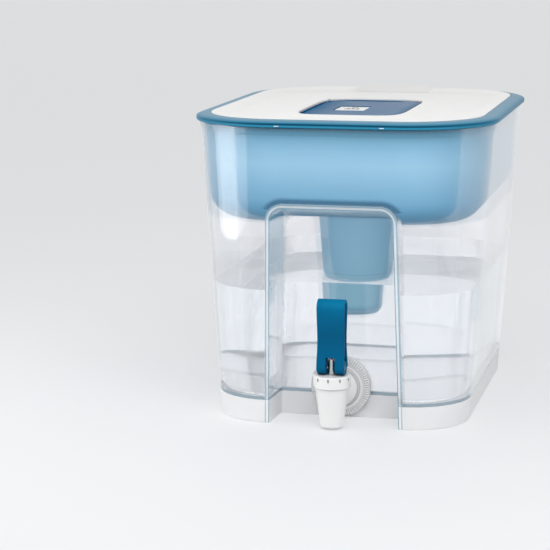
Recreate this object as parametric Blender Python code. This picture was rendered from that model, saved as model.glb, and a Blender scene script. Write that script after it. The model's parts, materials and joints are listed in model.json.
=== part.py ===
# A fridge water jug with a lever tap: clear tank, blue funnel, white lid, filter cartridge and tap.
# Metres, +Z up. The tap faces -Y, and the origin is the middle of the footprint, on the floor.
import math

import bmesh
import bpy
from mathutils import Matrix, Vector

for old in list(bpy.data.objects):
    bpy.data.objects.remove(old, do_unlink=True)

# Fits shared by all pieces
gap = 0.0003
overrun = 0.004
corner_steps = 7
round_steps = 28
quarter = math.pi / 2

# Tank
tank_height = 0.2092
tank_top_width = 0.208
tank_top_depth = 0.270
tank_top_radius = 0.0617
tank_flare = 0.0292
tank_base_radius = 0.041
tank_wall = 0.0024
floor_height = 0.0188
floor_thickness = 0.002
floor_fillet = 0.004
base_edge = 0.0008
bead_height = 0.0042
bead_overhang = 0.0012

# Alcove in the tank's front, which the tap stands in
alcove_half_width = 0.043
alcove_back_half_width = 0.041
alcove_draft = 0.004
alcove_under_rim = 0.0558
alcove_corner = 0.009
alcove_depth = 0.0445
alcove_back_round = 0.0135
alcove_side_round = 0.0015
alcove_steps = 6

# Tap axis, shared by the tank's hole and every piece of the tap
tap_axis_height = 0.0228
tap_setback = 0.0102
shank_radius = 0.0078
sump_half_width = 0.0172
sump_length = 0.0305
sump_floor = 0.0062
sump_corner = 0.004

# Funnel: the blue tub that hangs in the tank by its rim
rim_overhang = 0.003
rim_height = 0.0025
rim_crown = 0.0022
rim_band = 0.010
rim_edge = 0.0005
ledge_width = 0.0026
ledge_thickness = 0.0014
ledge_drop = 0.0024
funnel_gap = 0.001
funnel_wall = 0.0022
funnel_depth = 0.0672
funnel_fillet = 0.0165
funnel_steps = 4
arch_gap = 0.0024
arch_rise = 0.0036
lip_mark_offset = 0.036
lip_mark_half_width = 0.0018
lip_mark_height = 0.001
lip_mark_depth = 0.0006

# Cup at the funnel's floor, which holds the cartridge
cup_setback = 0.0585
cup_top_radius = 0.0287
cup_bottom_radius = 0.023
cup_depth = 0.0745
cup_wall = 0.0018
cup_edge = 0.006
cup_outlet_radius = 0.002
cup_outlet_ring_share = 0.55
cup_outlets = 6
cup_outlet_turn_share = 0.3

# Places and sizes that follow from these
tank_base_width = tank_top_width - tank_flare
tank_base_depth = tank_top_depth - tank_flare
alcove_top = tank_height - alcove_under_rim
alcove_back = alcove_depth - tank_top_depth / 2
tap_y = tap_setback - tank_top_depth / 2
sump_rear = alcove_back + sump_length
funnel_bottom = tank_height - funnel_depth
cup_y = alcove_back + cup_setback
cup_bottom = funnel_bottom - cup_depth


def blend(start, end, share):
    return start + (end - start) * share


def plan(z, inset, steps=corner_steps):
    # The tank's rounded outline at a height, moved in by inset, anticlockwise
    share = min(max(z / tank_height, 0.0), 1.0)
    half_x = blend(tank_base_width, tank_top_width, share) / 2 - inset
    half_y = blend(tank_base_depth, tank_top_depth, share) / 2 - inset
    radius = blend(tank_base_radius, tank_top_radius, share) - inset
    points = []
    for corner in range(4):
        side_x = 1 if corner in (0, 3) else -1
        side_y = 1 if corner in (0, 1) else -1
        for step in range(steps + 1):
            angle = quarter * (corner + step / steps)
            x = side_x * (half_x - radius) + radius * math.cos(angle)
            y = side_y * (half_y - radius) + radius * math.sin(angle)
            points.append(Vector((x, y, z)))
    return points


def finish(name, colour, roughness, metallic=0.0, transmission=0.0):
    made = bpy.data.materials.new(name)
    made.use_nodes = True
    shader = made.node_tree.nodes["Principled BSDF"]
    shader.inputs["Base Color"].default_value = (*colour, 1.0)
    shader.inputs["Roughness"].default_value = roughness
    shader.inputs["Metallic"].default_value = metallic
    shader.inputs["Transmission Weight"].default_value = transmission
    made.diffuse_color = (*colour, 1.0)
    return made


def place(name, shape, material=None, location=(0.0, 0.0, 0.0)):
    # Turns a bmesh into an object whose faces point out
    bmesh.ops.remove_doubles(shape, verts=shape.verts, dist=gap / 100)
    bmesh.ops.recalc_face_normals(shape, faces=shape.faces)
    mesh = bpy.data.meshes.new(name)
    shape.to_mesh(mesh)
    shape.free()
    mesh.shade_smooth()
    mesh.set_sharp_from_angle(angle=math.radians(35))
    item = bpy.data.objects.new(name, mesh)
    item.location = location
    bpy.context.scene.collection.objects.link(item)
    if material:
        mesh.materials.append(material)
    else:
        item.hide_render = True
        item.display_type = "WIRE"
    return item


def loft(name, rings, material=None, location=(0.0, 0.0, 0.0), ring_shaped=False):
    # Skins a row of outlines, and caps its ends or joins the last to the first
    shape = bmesh.new()
    rows = [[shape.verts.new(point) for point in ring] for ring in rings]
    pairs = list(zip(rows, rows[1:]))
    if ring_shaped:
        pairs.append((rows[-1], rows[0]))
    else:
        shape.faces.new(rows[0])
        shape.faces.new(rows[-1])
    for lower, upper in pairs:
        for index in range(len(lower)):
            after = (index + 1) % len(lower)
            shape.faces.new((lower[index], lower[after], upper[after], upper[index]))
    return place(name, shape, material, location)


def turned(name, profile, material=None, location=(0.0, 0.0, 0.0), steps=round_steps, tilt=None):
    # Spins a closed profile of (radius, height) points about Z, and tilts it afterwards
    shape = bmesh.new()
    corners = [shape.verts.new((radius, 0.0, height)) for radius, height in profile]
    edges = [shape.edges.new((a, b)) for a, b in zip(corners, corners[1:] + corners[:1]) if a.co.x or b.co.x]
    bmesh.ops.spin(
        shape,
        geom=corners + edges,
        cent=(0.0, 0.0, 0.0),
        axis=(0.0, 0.0, 1.0),
        angle=2 * math.pi,
        steps=steps,
        use_merge=True,
    )
    if tilt:
        bmesh.ops.transform(shape, matrix=tilt, verts=shape.verts)
    return place(name, shape, material, location)


def rod(name, radius, start, end, material=None, steps=round_steps):
    # A straight cylinder from one point to another
    start, end = Vector(start), Vector(end)
    shape = bmesh.new()
    bmesh.ops.create_cone(
        shape,
        cap_ends=True,
        segments=steps,
        radius1=radius,
        radius2=radius,
        depth=(end - start).length,
    )
    turn = (end - start).to_track_quat("Z", "Y").to_matrix().to_4x4()
    bmesh.ops.transform(shape, matrix=turn, verts=shape.verts)
    return place(name, shape, material, (start + end) / 2)


def block(name, low, high, material=None, edge=0.0, location=(0.0, 0.0, 0.0)):
    # A box between two corners, with its upright edges rounded
    low, high = Vector(low), Vector(high)
    shape = bmesh.new()
    size = Matrix.Diagonal((*(high - low), 1.0))
    middle = Matrix.Translation((low + high) / 2)
    bmesh.ops.create_cube(shape, size=1.0, matrix=middle @ size)
    if edge:
        upright = [e for e in shape.edges if abs(e.verts[0].co.z - e.verts[1].co.z) > gap]
        bmesh.ops.bevel(shape, geom=upright, offset=edge, segments=3, affect="EDGES", profile=0.5)
    return place(name, shape, material, location)


def combine(target, other, operation):
    # Keeps other as a hidden helper that cuts or joins the target
    other.hide_render = True
    other.display_type = "WIRE"
    step = target.modifiers.new(f"{operation.lower()} {other.name}", "BOOLEAN")
    step.operation = operation
    step.object = other
    step.solver = "EXACT"


def cut(target, *others):
    for other in others:
        combine(target, other, "DIFFERENCE")


def join(target, *others):
    for other in others:
        combine(target, other, "UNION")


clear_plastic = finish("clear plastic", (0.86, 0.90, 0.92), 0.05, transmission=1.0)
blue_plastic = finish("translucent blue plastic", (0.24, 0.53, 0.72), 0.12, transmission=0.6)
deep_blue = finish("deep blue plastic", (0.0, 0.11, 0.25), 0.30)
white_plastic = finish("white plastic", (0.87, 0.87, 0.87), 0.28)
grey_rubber = finish("grey silicone", (0.55, 0.57, 0.58), 0.60)
steel = finish("brushed steel", (0.60, 0.60, 0.62), 0.25, metallic=1.0)
carbon = finish("filter granules", (0.03, 0.03, 0.03), 0.90)
green_board = finish("circuit board", (0.02, 0.18, 0.08), 0.45)
lens = finish("clear window", (0.92, 0.94, 0.95), 0.06, transmission=0.9)


# Tank


def alcove(name, grow, rise):
    # The alcove as a solid, grown on its sides and back by grow and on its top by rise.
    # Its sides widen towards the floor, so that the mould can be drawn
    front = -tank_top_depth / 2
    round_start = alcove_back - alcove_back_round
    spread = (alcove_half_width - alcove_back_half_width) / (round_start - front)
    stations = [(front - overrun, alcove_half_width + spread * overrun, alcove_top)]
    for step in range(alcove_steps + 1):
        angle = quarter * step / alcove_steps
        y = round_start + (alcove_back_round + grow) * math.sin(angle)
        half_width = alcove_back_half_width - alcove_side_round * (1 - math.cos(angle))
        stations.append((y, half_width, alcove_top - alcove_back_round * (1 - math.cos(angle))))
    radius = alcove_corner + grow
    rings = []
    for y, half_width, top in stations:
        half_width += grow
        foot = half_width + alcove_draft
        ring = [Vector((foot, y, -overrun))]
        for side, first in ((1, 0.0), (-1, quarter)):
            for step in range(alcove_steps + 1):
                angle = first + quarter * step / alcove_steps
                x = side * (half_width - radius) + radius * math.cos(angle)
                ring.append(Vector((x, y, top + rise - radius + radius * math.sin(angle))))
        ring.append(Vector((-foot, y, -overrun)))
        rings.append(ring)
    return loft(name, rings)


def sump(name, grow):
    # The pocket in the floor behind the alcove, which the tap's nut turns in
    half_width = sump_half_width + grow
    low = (-half_width, alcove_back, sump_floor - grow)
    high = (half_width, sump_rear + grow, floor_height + floor_fillet)
    return block(name, low, high, edge=sump_corner)


def make_tank():
    bead_bottom = tank_height - bead_height
    body = loft(
        "tank",
        [
            plan(0.0, base_edge),
            plan(base_edge, 0.0),
            plan(bead_bottom - bead_overhang, 0.0),
            plan(bead_bottom, -bead_overhang),
            plan(tank_height - base_edge, -bead_overhang),
            plan(tank_height, -bead_overhang + base_edge),
        ],
        clear_plastic,
    )
    rings = []
    for step in range(4):
        angle = quarter * step / 3
        z = floor_height + floor_fillet * (1 - math.cos(angle))
        rings.append(plan(z, tank_wall + floor_fillet * (1 - math.sin(angle))))
    rings.append(plan(tank_height, tank_wall))
    top = [point + Vector((0.0, 0.0, overrun)) for point in rings[-1]]
    inside = loft("tank inside cutter", rings + [top])
    join(inside, sump("sump cutter", 0.0))
    cut(inside, alcove("alcove wall cutter", tank_wall, tank_wall))

    below = [point - Vector((0.0, 0.0, overrun)) for point in plan(0.0, tank_wall)]
    underside = loft("skirt cutter", [below, plan(floor_height - floor_thickness, tank_wall)])
    cut(underside, sump("sump wall cutter", floor_thickness))
    cut(underside, alcove("alcove skirt cutter", tank_wall, tank_wall))

    hole_start = (0.0, alcove_back - overrun, tap_axis_height)
    hole_end = (0.0, alcove_back + tank_wall + overrun, tap_axis_height)
    cut(body, alcove("alcove cutter", 0.0, 0.0), inside, underside)
    cut(body, rod("shank hole cutter", shank_radius + gap, hole_start, hole_end))
    return body


# Funnel


def cup_radius(z):
    return blend(cup_bottom_radius, cup_top_radius, (z - cup_bottom) / (funnel_bottom - cup_bottom))


def cup_profile(inset, floor, top):
    # The cup's turned outline, from its middle at the floor to its mouth
    edge = cup_edge - inset
    profile = [(0.0, floor)]
    for step in range(5):
        angle = quarter * step / 4
        z = floor + edge * (1 - math.cos(angle))
        profile.append((cup_radius(floor + edge) - inset - edge * (1 - math.sin(angle)), z))
    profile.append((cup_radius(top) - inset, top))
    profile.append((0.0, top))
    return profile


rim_bottom = tank_height + gap
rim_side_top = rim_bottom + rim_height
rim_top = rim_side_top + rim_crown
tub_inset = tank_wall + funnel_gap
rim_inner_inset = rim_band - rim_overhang
ledge_top = rim_top - ledge_drop
ledge_inset = rim_inner_inset + ledge_width


def tub_rings(inset, bottom, fillet):
    rings = []
    for step in range(funnel_steps + 1):
        angle = quarter * step / funnel_steps
        z = bottom + fillet * (1 - math.cos(angle))
        rings.append(plan(z, inset + fillet * (1 - math.sin(angle))))
    return rings


def raised(ring, z):
    return [Vector((point.x, point.y, z)) for point in ring]


def make_funnel():
    top_plan = tank_height
    rings = tub_rings(tub_inset, funnel_bottom, funnel_fillet)
    rings.append(plan(top_plan, tub_inset))
    rings.append(raised(plan(top_plan, tub_inset), rim_bottom))
    rings.append(raised(plan(top_plan, rim_edge - rim_overhang), rim_bottom))
    rings.append(raised(plan(top_plan, -rim_overhang), rim_bottom + rim_edge))
    for step in range(4):
        angle = quarter * step / 3
        z = rim_side_top + rim_crown * math.sin(angle)
        across = -rim_overhang + (rim_band - rim_edge) * (1 - math.cos(angle))
        rings.append(raised(plan(top_plan, across), z))
    tub = loft("funnel", rings, blue_plastic)

    inner_inset = tub_inset + funnel_wall
    rings = tub_rings(inner_inset, funnel_bottom + funnel_wall, funnel_fillet - funnel_wall)
    shoulder = ledge_top - ledge_thickness
    slope_start = shoulder - (ledge_inset - inner_inset)
    rings.append(plan(slope_start, inner_inset))
    rings.append(raised(plan(top_plan, ledge_inset), shoulder))
    rings.append(raised(plan(top_plan, ledge_inset), ledge_top))
    rings.append(raised(plan(top_plan, rim_inner_inset), ledge_top))
    rings.append(raised(plan(top_plan, rim_inner_inset), rim_top + overrun))
    inside = loft("funnel inside cutter", rings)
    wall = tank_wall + arch_gap
    cut(inside, alcove("arch wall cutter", wall + funnel_wall, arch_rise + funnel_wall))
    cut(tub, alcove("arch cutter", wall, arch_rise), inside)

    lip_front = -tank_top_depth / 2 - rim_overhang
    mark_bottom = rim_bottom + rim_edge
    for side in (-1, 1):
        middle = side * lip_mark_offset
        low = (middle - lip_mark_half_width, lip_front - overrun, mark_bottom)
        high = (middle + lip_mark_half_width, lip_front + lip_mark_depth, mark_bottom + lip_mark_height)
        cut(tub, block(f"lip mark cutter {side}", low, high))

    here = (0.0, cup_y, 0.0)
    overlap = funnel_bottom + funnel_wall / 2
    join(tub, turned("cup", cup_profile(0.0, cup_bottom, overlap), location=here))
    bore = cup_profile(cup_wall, cup_bottom + cup_wall, funnel_bottom + funnel_wall + overrun)
    cut(tub, turned("cup cutter", bore, location=here))
    ring = cup_bottom_radius * cup_outlet_ring_share
    for index in range(cup_outlets):
        angle = 2 * math.pi * (index + cup_outlet_turn_share) / cup_outlets
        x, y = ring * math.cos(angle), cup_y + ring * math.sin(angle)
        start, end = (x, y, cup_bottom - overrun), (x, y, cup_bottom + cup_wall + overrun)
        cut(tub, rod(f"cup outlet cutter {index}", cup_outlet_radius, start, end, steps=12))
    return tub


# Lid

lid_gap = 0.0004
lid_side = 0.0018
lid_edge = 0.0009
lid_rim_width = 0.0035
lid_dish_width = 0.013
lid_dish = 0.0025
lid_thickness = 0.0022
lid_skirt_inset = 0.0032
lid_skirt_width = 0.002
lid_skirt_depth = 0.006
lid_grip_width = 0.066
lid_grip_top_width = 0.054
lid_grip_height = 0.0018
lid_grip_length = 0.016

# Flap in the lid, over the filling hole
flap_half_width = 0.0375
flap_half_length = 0.0625
flap_forward = 0.019
flap_power = 5.5
flap_gap = 0.0005
flap_thickness = 0.0014
flap_edge = 0.0009
flap_border = 0.004
flap_dish_width = 0.014
flap_dish = 0.0006
flap_ledge = 0.005
flap_hinge_back = 0.011
trunnion_radius = 0.0011
trunnion_fit = 0.0003
trunnion_length = 0.0022
surround_width = 0.015
surround_rise = 0.0012
frame_width = 0.004
frame_depth = 0.0028
hinge_notch_width = 0.0013
hinge_notch_clearance = 0.0009
scoop_half_width = 0.018
scoop_length = 0.009
scoop_depth = 0.0009
relief_length = 0.0175

flap_y = -flap_forward
lid_inset = rim_inner_inset + lid_gap
lid_seat = ledge_top + gap
lid_top = lid_seat + lid_side + lid_edge
lid_dish_z = lid_top - lid_dish
lid_under = lid_dish_z - lid_thickness
flap_under = lid_dish_z - flap_thickness - flap_dish / 2
flap_top = flap_under + flap_thickness + flap_dish
flap_ledge_z = flap_under - gap
hinge_y = flap_y + flap_half_length - flap_hinge_back
hinge_z = flap_under + gap
hinge_share = 1 - flap_hinge_back / flap_half_length
hinge_half_span = flap_half_width * (1 - hinge_share**flap_power) ** (1 / flap_power)


def flap_plan(z, grow, steps=corner_steps):
    # A rounded oblong, x to the power n plus y to the power n, with as many points as plan gives
    points = []
    count = 4 * (steps + 1)
    for index in range(count):
        angle = 2 * math.pi * (index + 0.5) / count
        cos, sin = math.cos(angle), math.sin(angle)
        x = (flap_half_width + grow) * math.copysign(abs(cos) ** (2 / flap_power), cos)
        y = (flap_half_length + grow) * math.copysign(abs(sin) ** (2 / flap_power), sin)
        points.append(Vector((x, flap_y + y, z)))
    return points


def lid_plan(z, inset):
    return raised(plan(tank_height, lid_inset + inset), z)


def make_lid():
    crown = lid_dish_z + surround_rise
    skirt_bottom = lid_seat - lid_skirt_depth
    skirt_inner = lid_skirt_inset + lid_skirt_width
    frame_bottom = flap_ledge_z - frame_depth
    shell = loft(
        "lid",
        [
            lid_plan(lid_seat, 0.0),
            lid_plan(lid_seat + lid_side, 0.0),
            lid_plan(lid_top, lid_edge),
            lid_plan(lid_top - lid_edge / 4, lid_rim_width),
            lid_plan(lid_dish_z, lid_dish_width),
            flap_plan(lid_dish_z, surround_width),
            flap_plan(crown, surround_width / 2),
            flap_plan(crown, frame_width / 2),
            flap_plan(flap_top, flap_gap),
            flap_plan(flap_ledge_z, flap_gap),
            flap_plan(flap_ledge_z, -flap_ledge),
            flap_plan(frame_bottom, -flap_ledge),
            flap_plan(frame_bottom, frame_width),
            flap_plan(lid_under, 2 * frame_width),
            lid_plan(lid_under, lid_dish_width),
            lid_plan(lid_seat - lid_edge, skirt_inner),
            lid_plan(skirt_bottom, skirt_inner),
            lid_plan(skirt_bottom, lid_skirt_inset),
            lid_plan(lid_seat, lid_skirt_inset),
        ],
        white_plastic,
        ring_shaped=True,
    )
    back = tank_top_depth / 2 - lid_inset - lid_edge
    grip = []
    rear_heights = (lid_seat + gap, lid_top - lid_dish / 2, lid_top + lid_grip_height)
    front_heights = (lid_dish_z - lid_thickness / 2, lid_dish_z - gap, lid_dish_z + gap)
    for y, (low, shoulder, high) in ((back, rear_heights), (back - lid_grip_length, front_heights)):
        half_base, half_top = lid_grip_width / 2, lid_grip_top_width / 2
        outline = ((-half_base, low), (half_base, low), (half_base, shoulder))
        outline += ((half_top, high), (-half_top, high), (-half_base, shoulder))
        grip.append([Vector((x, y, z)) for x, z in outline])
    join(shell, loft("lid grip", grip))

    # The flap's rear end dips as its front lifts, so its ledge stops in front of the hinge
    relief_start = hinge_y + flap_hinge_back - relief_length
    behind = [point for point in flap_plan(0.0, flap_gap + gap / 2) if point.y > relief_start]
    bottom = raised(behind, frame_bottom - overrun)
    cut(shell, loft("flap relief cutter", [bottom, raised(behind, flap_ledge_z + gap)]))
    reach = flap_half_width + trunnion_length + gap
    pivot_start, pivot_end = (-reach, hinge_y, hinge_z), (reach, hinge_y, hinge_z)
    socket = rod("trunnion cutter", trunnion_radius + trunnion_fit, pivot_start, pivot_end, steps=16)
    cut(shell, socket)

    # The raised flap's top corners swing back into a notch on each side
    notch_reach = hinge_half_span + hinge_notch_width
    rear = hinge_y + flap_top - hinge_z + hinge_notch_clearance
    notch_floor = flap_ledge_z + gap / 2
    low, high = (-notch_reach, hinge_y, notch_floor), (notch_reach, rear, crown + overrun)
    cut(shell, block("hinge notch cutter", low, high))
    return shell


# Flap and the filter gauge under it

gauge_left = 0.006
gauge_forward = 0.006
window_half_width = 0.011
window_half_length = 0.0155
window_thickness = 0.001
housing_margin = 0.004
housing_wall = 0.0013
housing_depth = 0.007
housing_corner = 0.003
board_thickness = 0.0012
battery_radius = 0.0065
battery_thickness = 0.002
display_thickness = 0.0012
button_radius = 0.0022
button_y = 0.0118
button_travel = 0.0005
button_clearance = 0.0004

gauge_x = -gauge_left
gauge_y = flap_y - gauge_forward


def about_gauge(half_width, half_length, bottom, top):
    low = (gauge_x - half_width, gauge_y - half_length, bottom)
    high = (gauge_x + half_width, gauge_y + half_length, top)
    return low, high


def make_flap():
    hinge = Vector((0.0, hinge_y, hinge_z))
    rings = [
        flap_plan(flap_under, -gap),
        flap_plan(flap_under + gap, 0.0),
        flap_plan(flap_top - flap_edge, 0.0),
        flap_plan(flap_top, -flap_edge),
        flap_plan(flap_top, -flap_border),
        flap_plan(flap_top - flap_dish, -flap_dish_width),
    ]
    rings = [[point - hinge for point in ring] for ring in rings]
    plate = loft("flap", rings, deep_blue, hinge)
    for side in (-1, 1):
        start = (side * (hinge_half_span - 3 * trunnion_length), hinge_y, hinge_z)
        end = (side * (hinge_half_span + trunnion_length), hinge_y, hinge_z)
        join(plate, rod(f"flap trunnion {side}", trunnion_radius, start, end, steps=16))
    scoop = bmesh.new()
    bmesh.ops.create_uvsphere(scoop, u_segments=16, v_segments=8, radius=1.0)
    shape = Matrix.Diagonal((scoop_half_width, scoop_length / 2, scoop_depth, 1.0))
    bmesh.ops.transform(scoop, matrix=shape, verts=scoop.verts)
    scoop_y = flap_y + flap_half_length - flap_border - scoop_length / 2
    cut(plate, place("scoop cutter", scoop, location=(0.0, scoop_y, flap_top)))
    opening = about_gauge(
        window_half_width + gap, window_half_length + gap, flap_under - overrun, flap_top + overrun
    )
    cut(plate, block("window cutter", *opening))
    return plate


def make_gauge():
    top = flap_under - gap
    bottom = top - housing_depth
    half_width = window_half_width + housing_margin
    half_length = window_half_length + housing_margin
    tray = block(
        "gauge_housing",
        *about_gauge(half_width, half_length, bottom, top),
        white_plastic,
        edge=housing_corner,
    )
    inner_width, inner_length = half_width - housing_wall, half_length - housing_wall
    floor = bottom + housing_wall
    inside = about_gauge(inner_width, inner_length, floor, top + overrun)
    cut(tray, block("housing cutter", *inside, edge=housing_corner - housing_wall))

    board_bottom = floor + gap
    board_top = board_bottom + board_thickness
    board = about_gauge(inner_width - gap, inner_length - gap, board_bottom, board_top)
    block("gauge_board", *board, green_board, edge=housing_corner - housing_wall)

    battery_y = gauge_y - inner_length / 3
    start = (gauge_x, battery_y, board_top + gap)
    end = (gauge_x, battery_y, board_top + gap + battery_thickness)
    rod("gauge_battery", battery_radius, start, end, steel, steps=24)

    window_top = flap_top - flap_dish
    window_bottom = window_top - window_thickness
    display_top = window_bottom - gap
    display = block(
        "gauge_display",
        *about_gauge(window_half_width, window_half_length, display_top - display_thickness, display_top),
        white_plastic,
    )
    window = block(
        "gauge_window",
        *about_gauge(window_half_width, window_half_length, window_bottom, window_top),
        lens,
    )
    button_at = Vector((gauge_x, gauge_y + button_y, window_top + gap))
    bore_start = (gauge_x, gauge_y + button_y, display_top - display_thickness - overrun)
    bore_end = (gauge_x, gauge_y + button_y, window_top + overrun)
    for plate in (display, window):
        name = f"button cutter {plate.name}"
        cut(plate, rod(name, button_radius + button_clearance, bore_start, bore_end, steps=20))
    foot = board_top + gap + button_travel - button_at.z
    profile = [(0.0, foot), (button_radius, foot), (button_radius, -gap), (button_radius - gap, 0.0)]
    turned("gauge_button", profile + [(0.0, 0.0)], grey_rubber, button_at, steps=20)


# Cartridge, which stands in the cup

cartridge_gap = 0.001
cartridge_wall = 0.0014
flange_overhang = 0.0017
flange_thickness = 0.0016
seal_thickness = 0.0013
seal_width = 0.0024
cap_height = 0.013
cap_wall = 0.0015
cap_crown_share = 0.38
cap_slots = 8
cap_slot_width = 0.004
mesh_thickness = 0.0006
handle_radius = 0.0115
handle_thickness = 0.0014

flange_radius = cup_top_radius + flange_overhang
funnel_floor = funnel_bottom + funnel_wall
seal_bottom = funnel_floor + gap
flange_bottom = seal_bottom + seal_thickness + gap
flange_top = flange_bottom + flange_thickness
cartridge_inset = cup_wall + cartridge_gap
cartridge_bottom = cup_bottom + cup_wall + gap


def make_cartridge():
    here = (0.0, cup_y, 0.0)
    outer = cup_profile(cartridge_inset, cartridge_bottom, funnel_bottom)[:-1]
    wall = cup_radius(funnel_bottom) - cartridge_inset
    outer += [(wall, flange_bottom), (flange_radius, flange_bottom), (flange_radius, flange_top)]
    floor = cartridge_bottom + cartridge_wall
    inner = cup_profile(cartridge_inset + cartridge_wall, floor, flange_top)[:-1]
    body = turned("cartridge_body", outer + inner[::-1], white_plastic, here)
    ring = cup_bottom_radius * cup_outlet_ring_share
    for index in range(cup_outlets):
        angle = 2 * math.pi * (index + cup_outlet_turn_share) / cup_outlets
        x, y = ring * math.cos(angle), cup_y + ring * math.sin(angle)
        start, end = (x, y, cartridge_bottom - overrun), (x, y, floor + overrun)
        cut(body, rod(f"cartridge outlet cutter {index}", cup_outlet_radius / 2, start, end, steps=8))

    media_inset = cartridge_inset + cartridge_wall + gap
    media = cup_profile(media_inset, floor + gap, funnel_bottom)
    turned("filter_media", media, carbon, here)

    start = wall + gap * 2
    end = start + seal_width
    seal_top = seal_bottom + seal_thickness
    seal = [(start, seal_bottom), (end, seal_bottom), (end, seal_top), (start, seal_top)]
    turned("cartridge_seal", seal, grey_rubber, here)

    base = flange_top + gap
    crown_radius = flange_radius * cap_crown_share
    cap = turned(
        "cartridge_cap",
        [
            (0.0, base),
            (flange_radius, base),
            (flange_radius, base + cap_wall),
            (flange_radius - cap_wall, base + 2 * cap_wall),
            (crown_radius + cap_wall, base + cap_height - cap_wall),
            (crown_radius, base + cap_height),
            (0.0, base + cap_height),
        ],
        white_plastic,
        here,
    )
    hollow_radius = flange_radius - 2 * cap_wall
    hollow = [
        (0.0, base - overrun),
        (hollow_radius, base - overrun),
        (hollow_radius, base + cap_wall),
        (crown_radius, base + cap_height - 2 * cap_wall),
        (0.0, base + cap_height - 2 * cap_wall),
    ]
    cut(cap, turned("cap cutter", hollow, location=here))
    middle = (crown_radius + hollow_radius) / 2
    half_slot = (hollow_radius - crown_radius) / 3
    for index in range(cap_slots):
        turn = Matrix.Rotation(2 * math.pi * (index + 0.5) / cap_slots, 4, "Z")
        shape = bmesh.new()
        size = Matrix.Diagonal((2 * half_slot, cap_slot_width, 2 * cap_height, 1.0))
        slot_middle = Matrix.Translation((middle, 0.0, base + cap_height + cap_wall))
        bmesh.ops.create_cube(shape, size=1.0, matrix=turn @ slot_middle @ size)
        cut(cap, place(f"vent cutter {index}", shape, location=here))
    handle = bmesh.new()
    rows = []
    for step in range(13):
        angle = math.pi * step / 12
        out = Vector((math.cos(angle), 0.0, math.sin(angle)))
        row = []
        for side in range(8):
            around = 2 * math.pi * side / 8
            shift = out * math.cos(around) + Vector((0.0, math.sin(around), 0.0))
            row.append(handle.verts.new(out * handle_radius + shift * handle_thickness))
        rows.append(row)
    for lower, upper in zip(rows, rows[1:]):
        for index in range(8):
            after = (index + 1) % 8
            handle.faces.new((lower[index], lower[after], upper[after], upper[index]))
    handle.faces.new(rows[0])
    handle.faces.new(rows[-1])
    handle_at = (0.0, cup_y, base + cap_height - cap_wall)
    join(cap, place("cap handle", handle, location=handle_at))

    clear = gap
    rise_radius = crown_radius - clear
    screen = [
        (hollow_radius - clear, base),
        (hollow_radius - clear, base + cap_wall - clear),
        (rise_radius, base + cap_height - 2 * cap_wall - clear),
        (0.0, base + cap_height - 2 * cap_wall - clear),
        (0.0, base + cap_height - 2 * cap_wall - clear - mesh_thickness),
        (rise_radius - mesh_thickness, base + cap_height - 2 * cap_wall - clear - mesh_thickness),
        (hollow_radius - clear - 2 * mesh_thickness, base + cap_wall - clear - mesh_thickness),
        (hollow_radius - clear - 2 * mesh_thickness, base),
    ]
    turned("cartridge_mesh", screen, grey_rubber, here)


# Tap

barrel_bottom = 0.0012
barrel_bottom_radius = 0.0078
barrel_top_radius = 0.0117
barrel_length = 0.0280
barrel_edge = 0.0008
spout_radius = 0.0054
seat_height = 0.0125
seat_radius = 0.0040
chamber_floor = 0.0140
chamber_radius = 0.0088
chamber_edge = 0.0015
neck_radius = 0.0098
neck_height = 0.0048
bonnet_radius = 0.0131
bonnet_height = 0.0088
bonnet_edge = 0.0012
bonnet_top_thickness = 0.0020
bonnet_notches = 8
bonnet_notch_width = 0.0012
bonnet_notch_height = 0.0022
bonnet_notch_depth = 0.0007
shank_neck_radius = 0.0062
shank_bore_radius = 0.0046
shank_inside = 0.0205
shank_flange_radius = 0.0128
shank_flange_thickness = 0.0032
gasket_thickness = 0.0016
gasket_radius = 0.0125
collar_radius = 0.0214
collar_thickness = 0.0066
collar_band = 0.0040
collar_band_slope = 0.0018
collar_groove = 0.0009
collar_ribs = 32
collar_rib_depth = 0.0006
nut_radius = 0.0140
nut_thickness = 0.0070
stem_radius = 0.0029
stem_over_bonnet = 0.0115
cup_seal_radius = 0.0062
cup_seal_height = 0.0085
cup_seal_wall = 0.0016
spring_radius = 0.0051
spring_wire = 0.0005
spring_turns = 5
spring_points = 9

barrel_top = barrel_bottom + barrel_length
bonnet_bottom = barrel_top + gap
bonnet_top = bonnet_bottom + bonnet_height
stem_foot = chamber_floor + gap + cup_seal_wall + gap
stem_top = bonnet_top + stem_over_bonnet
shank_end = alcove_back + shank_inside
collar_back = alcove_back - gap
collar_front = collar_back - collar_thickness
lying = Matrix.Rotation(quarter, 4, "X")
half_step = Matrix.Rotation(math.pi / round_steps, 4, "Z")


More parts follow.
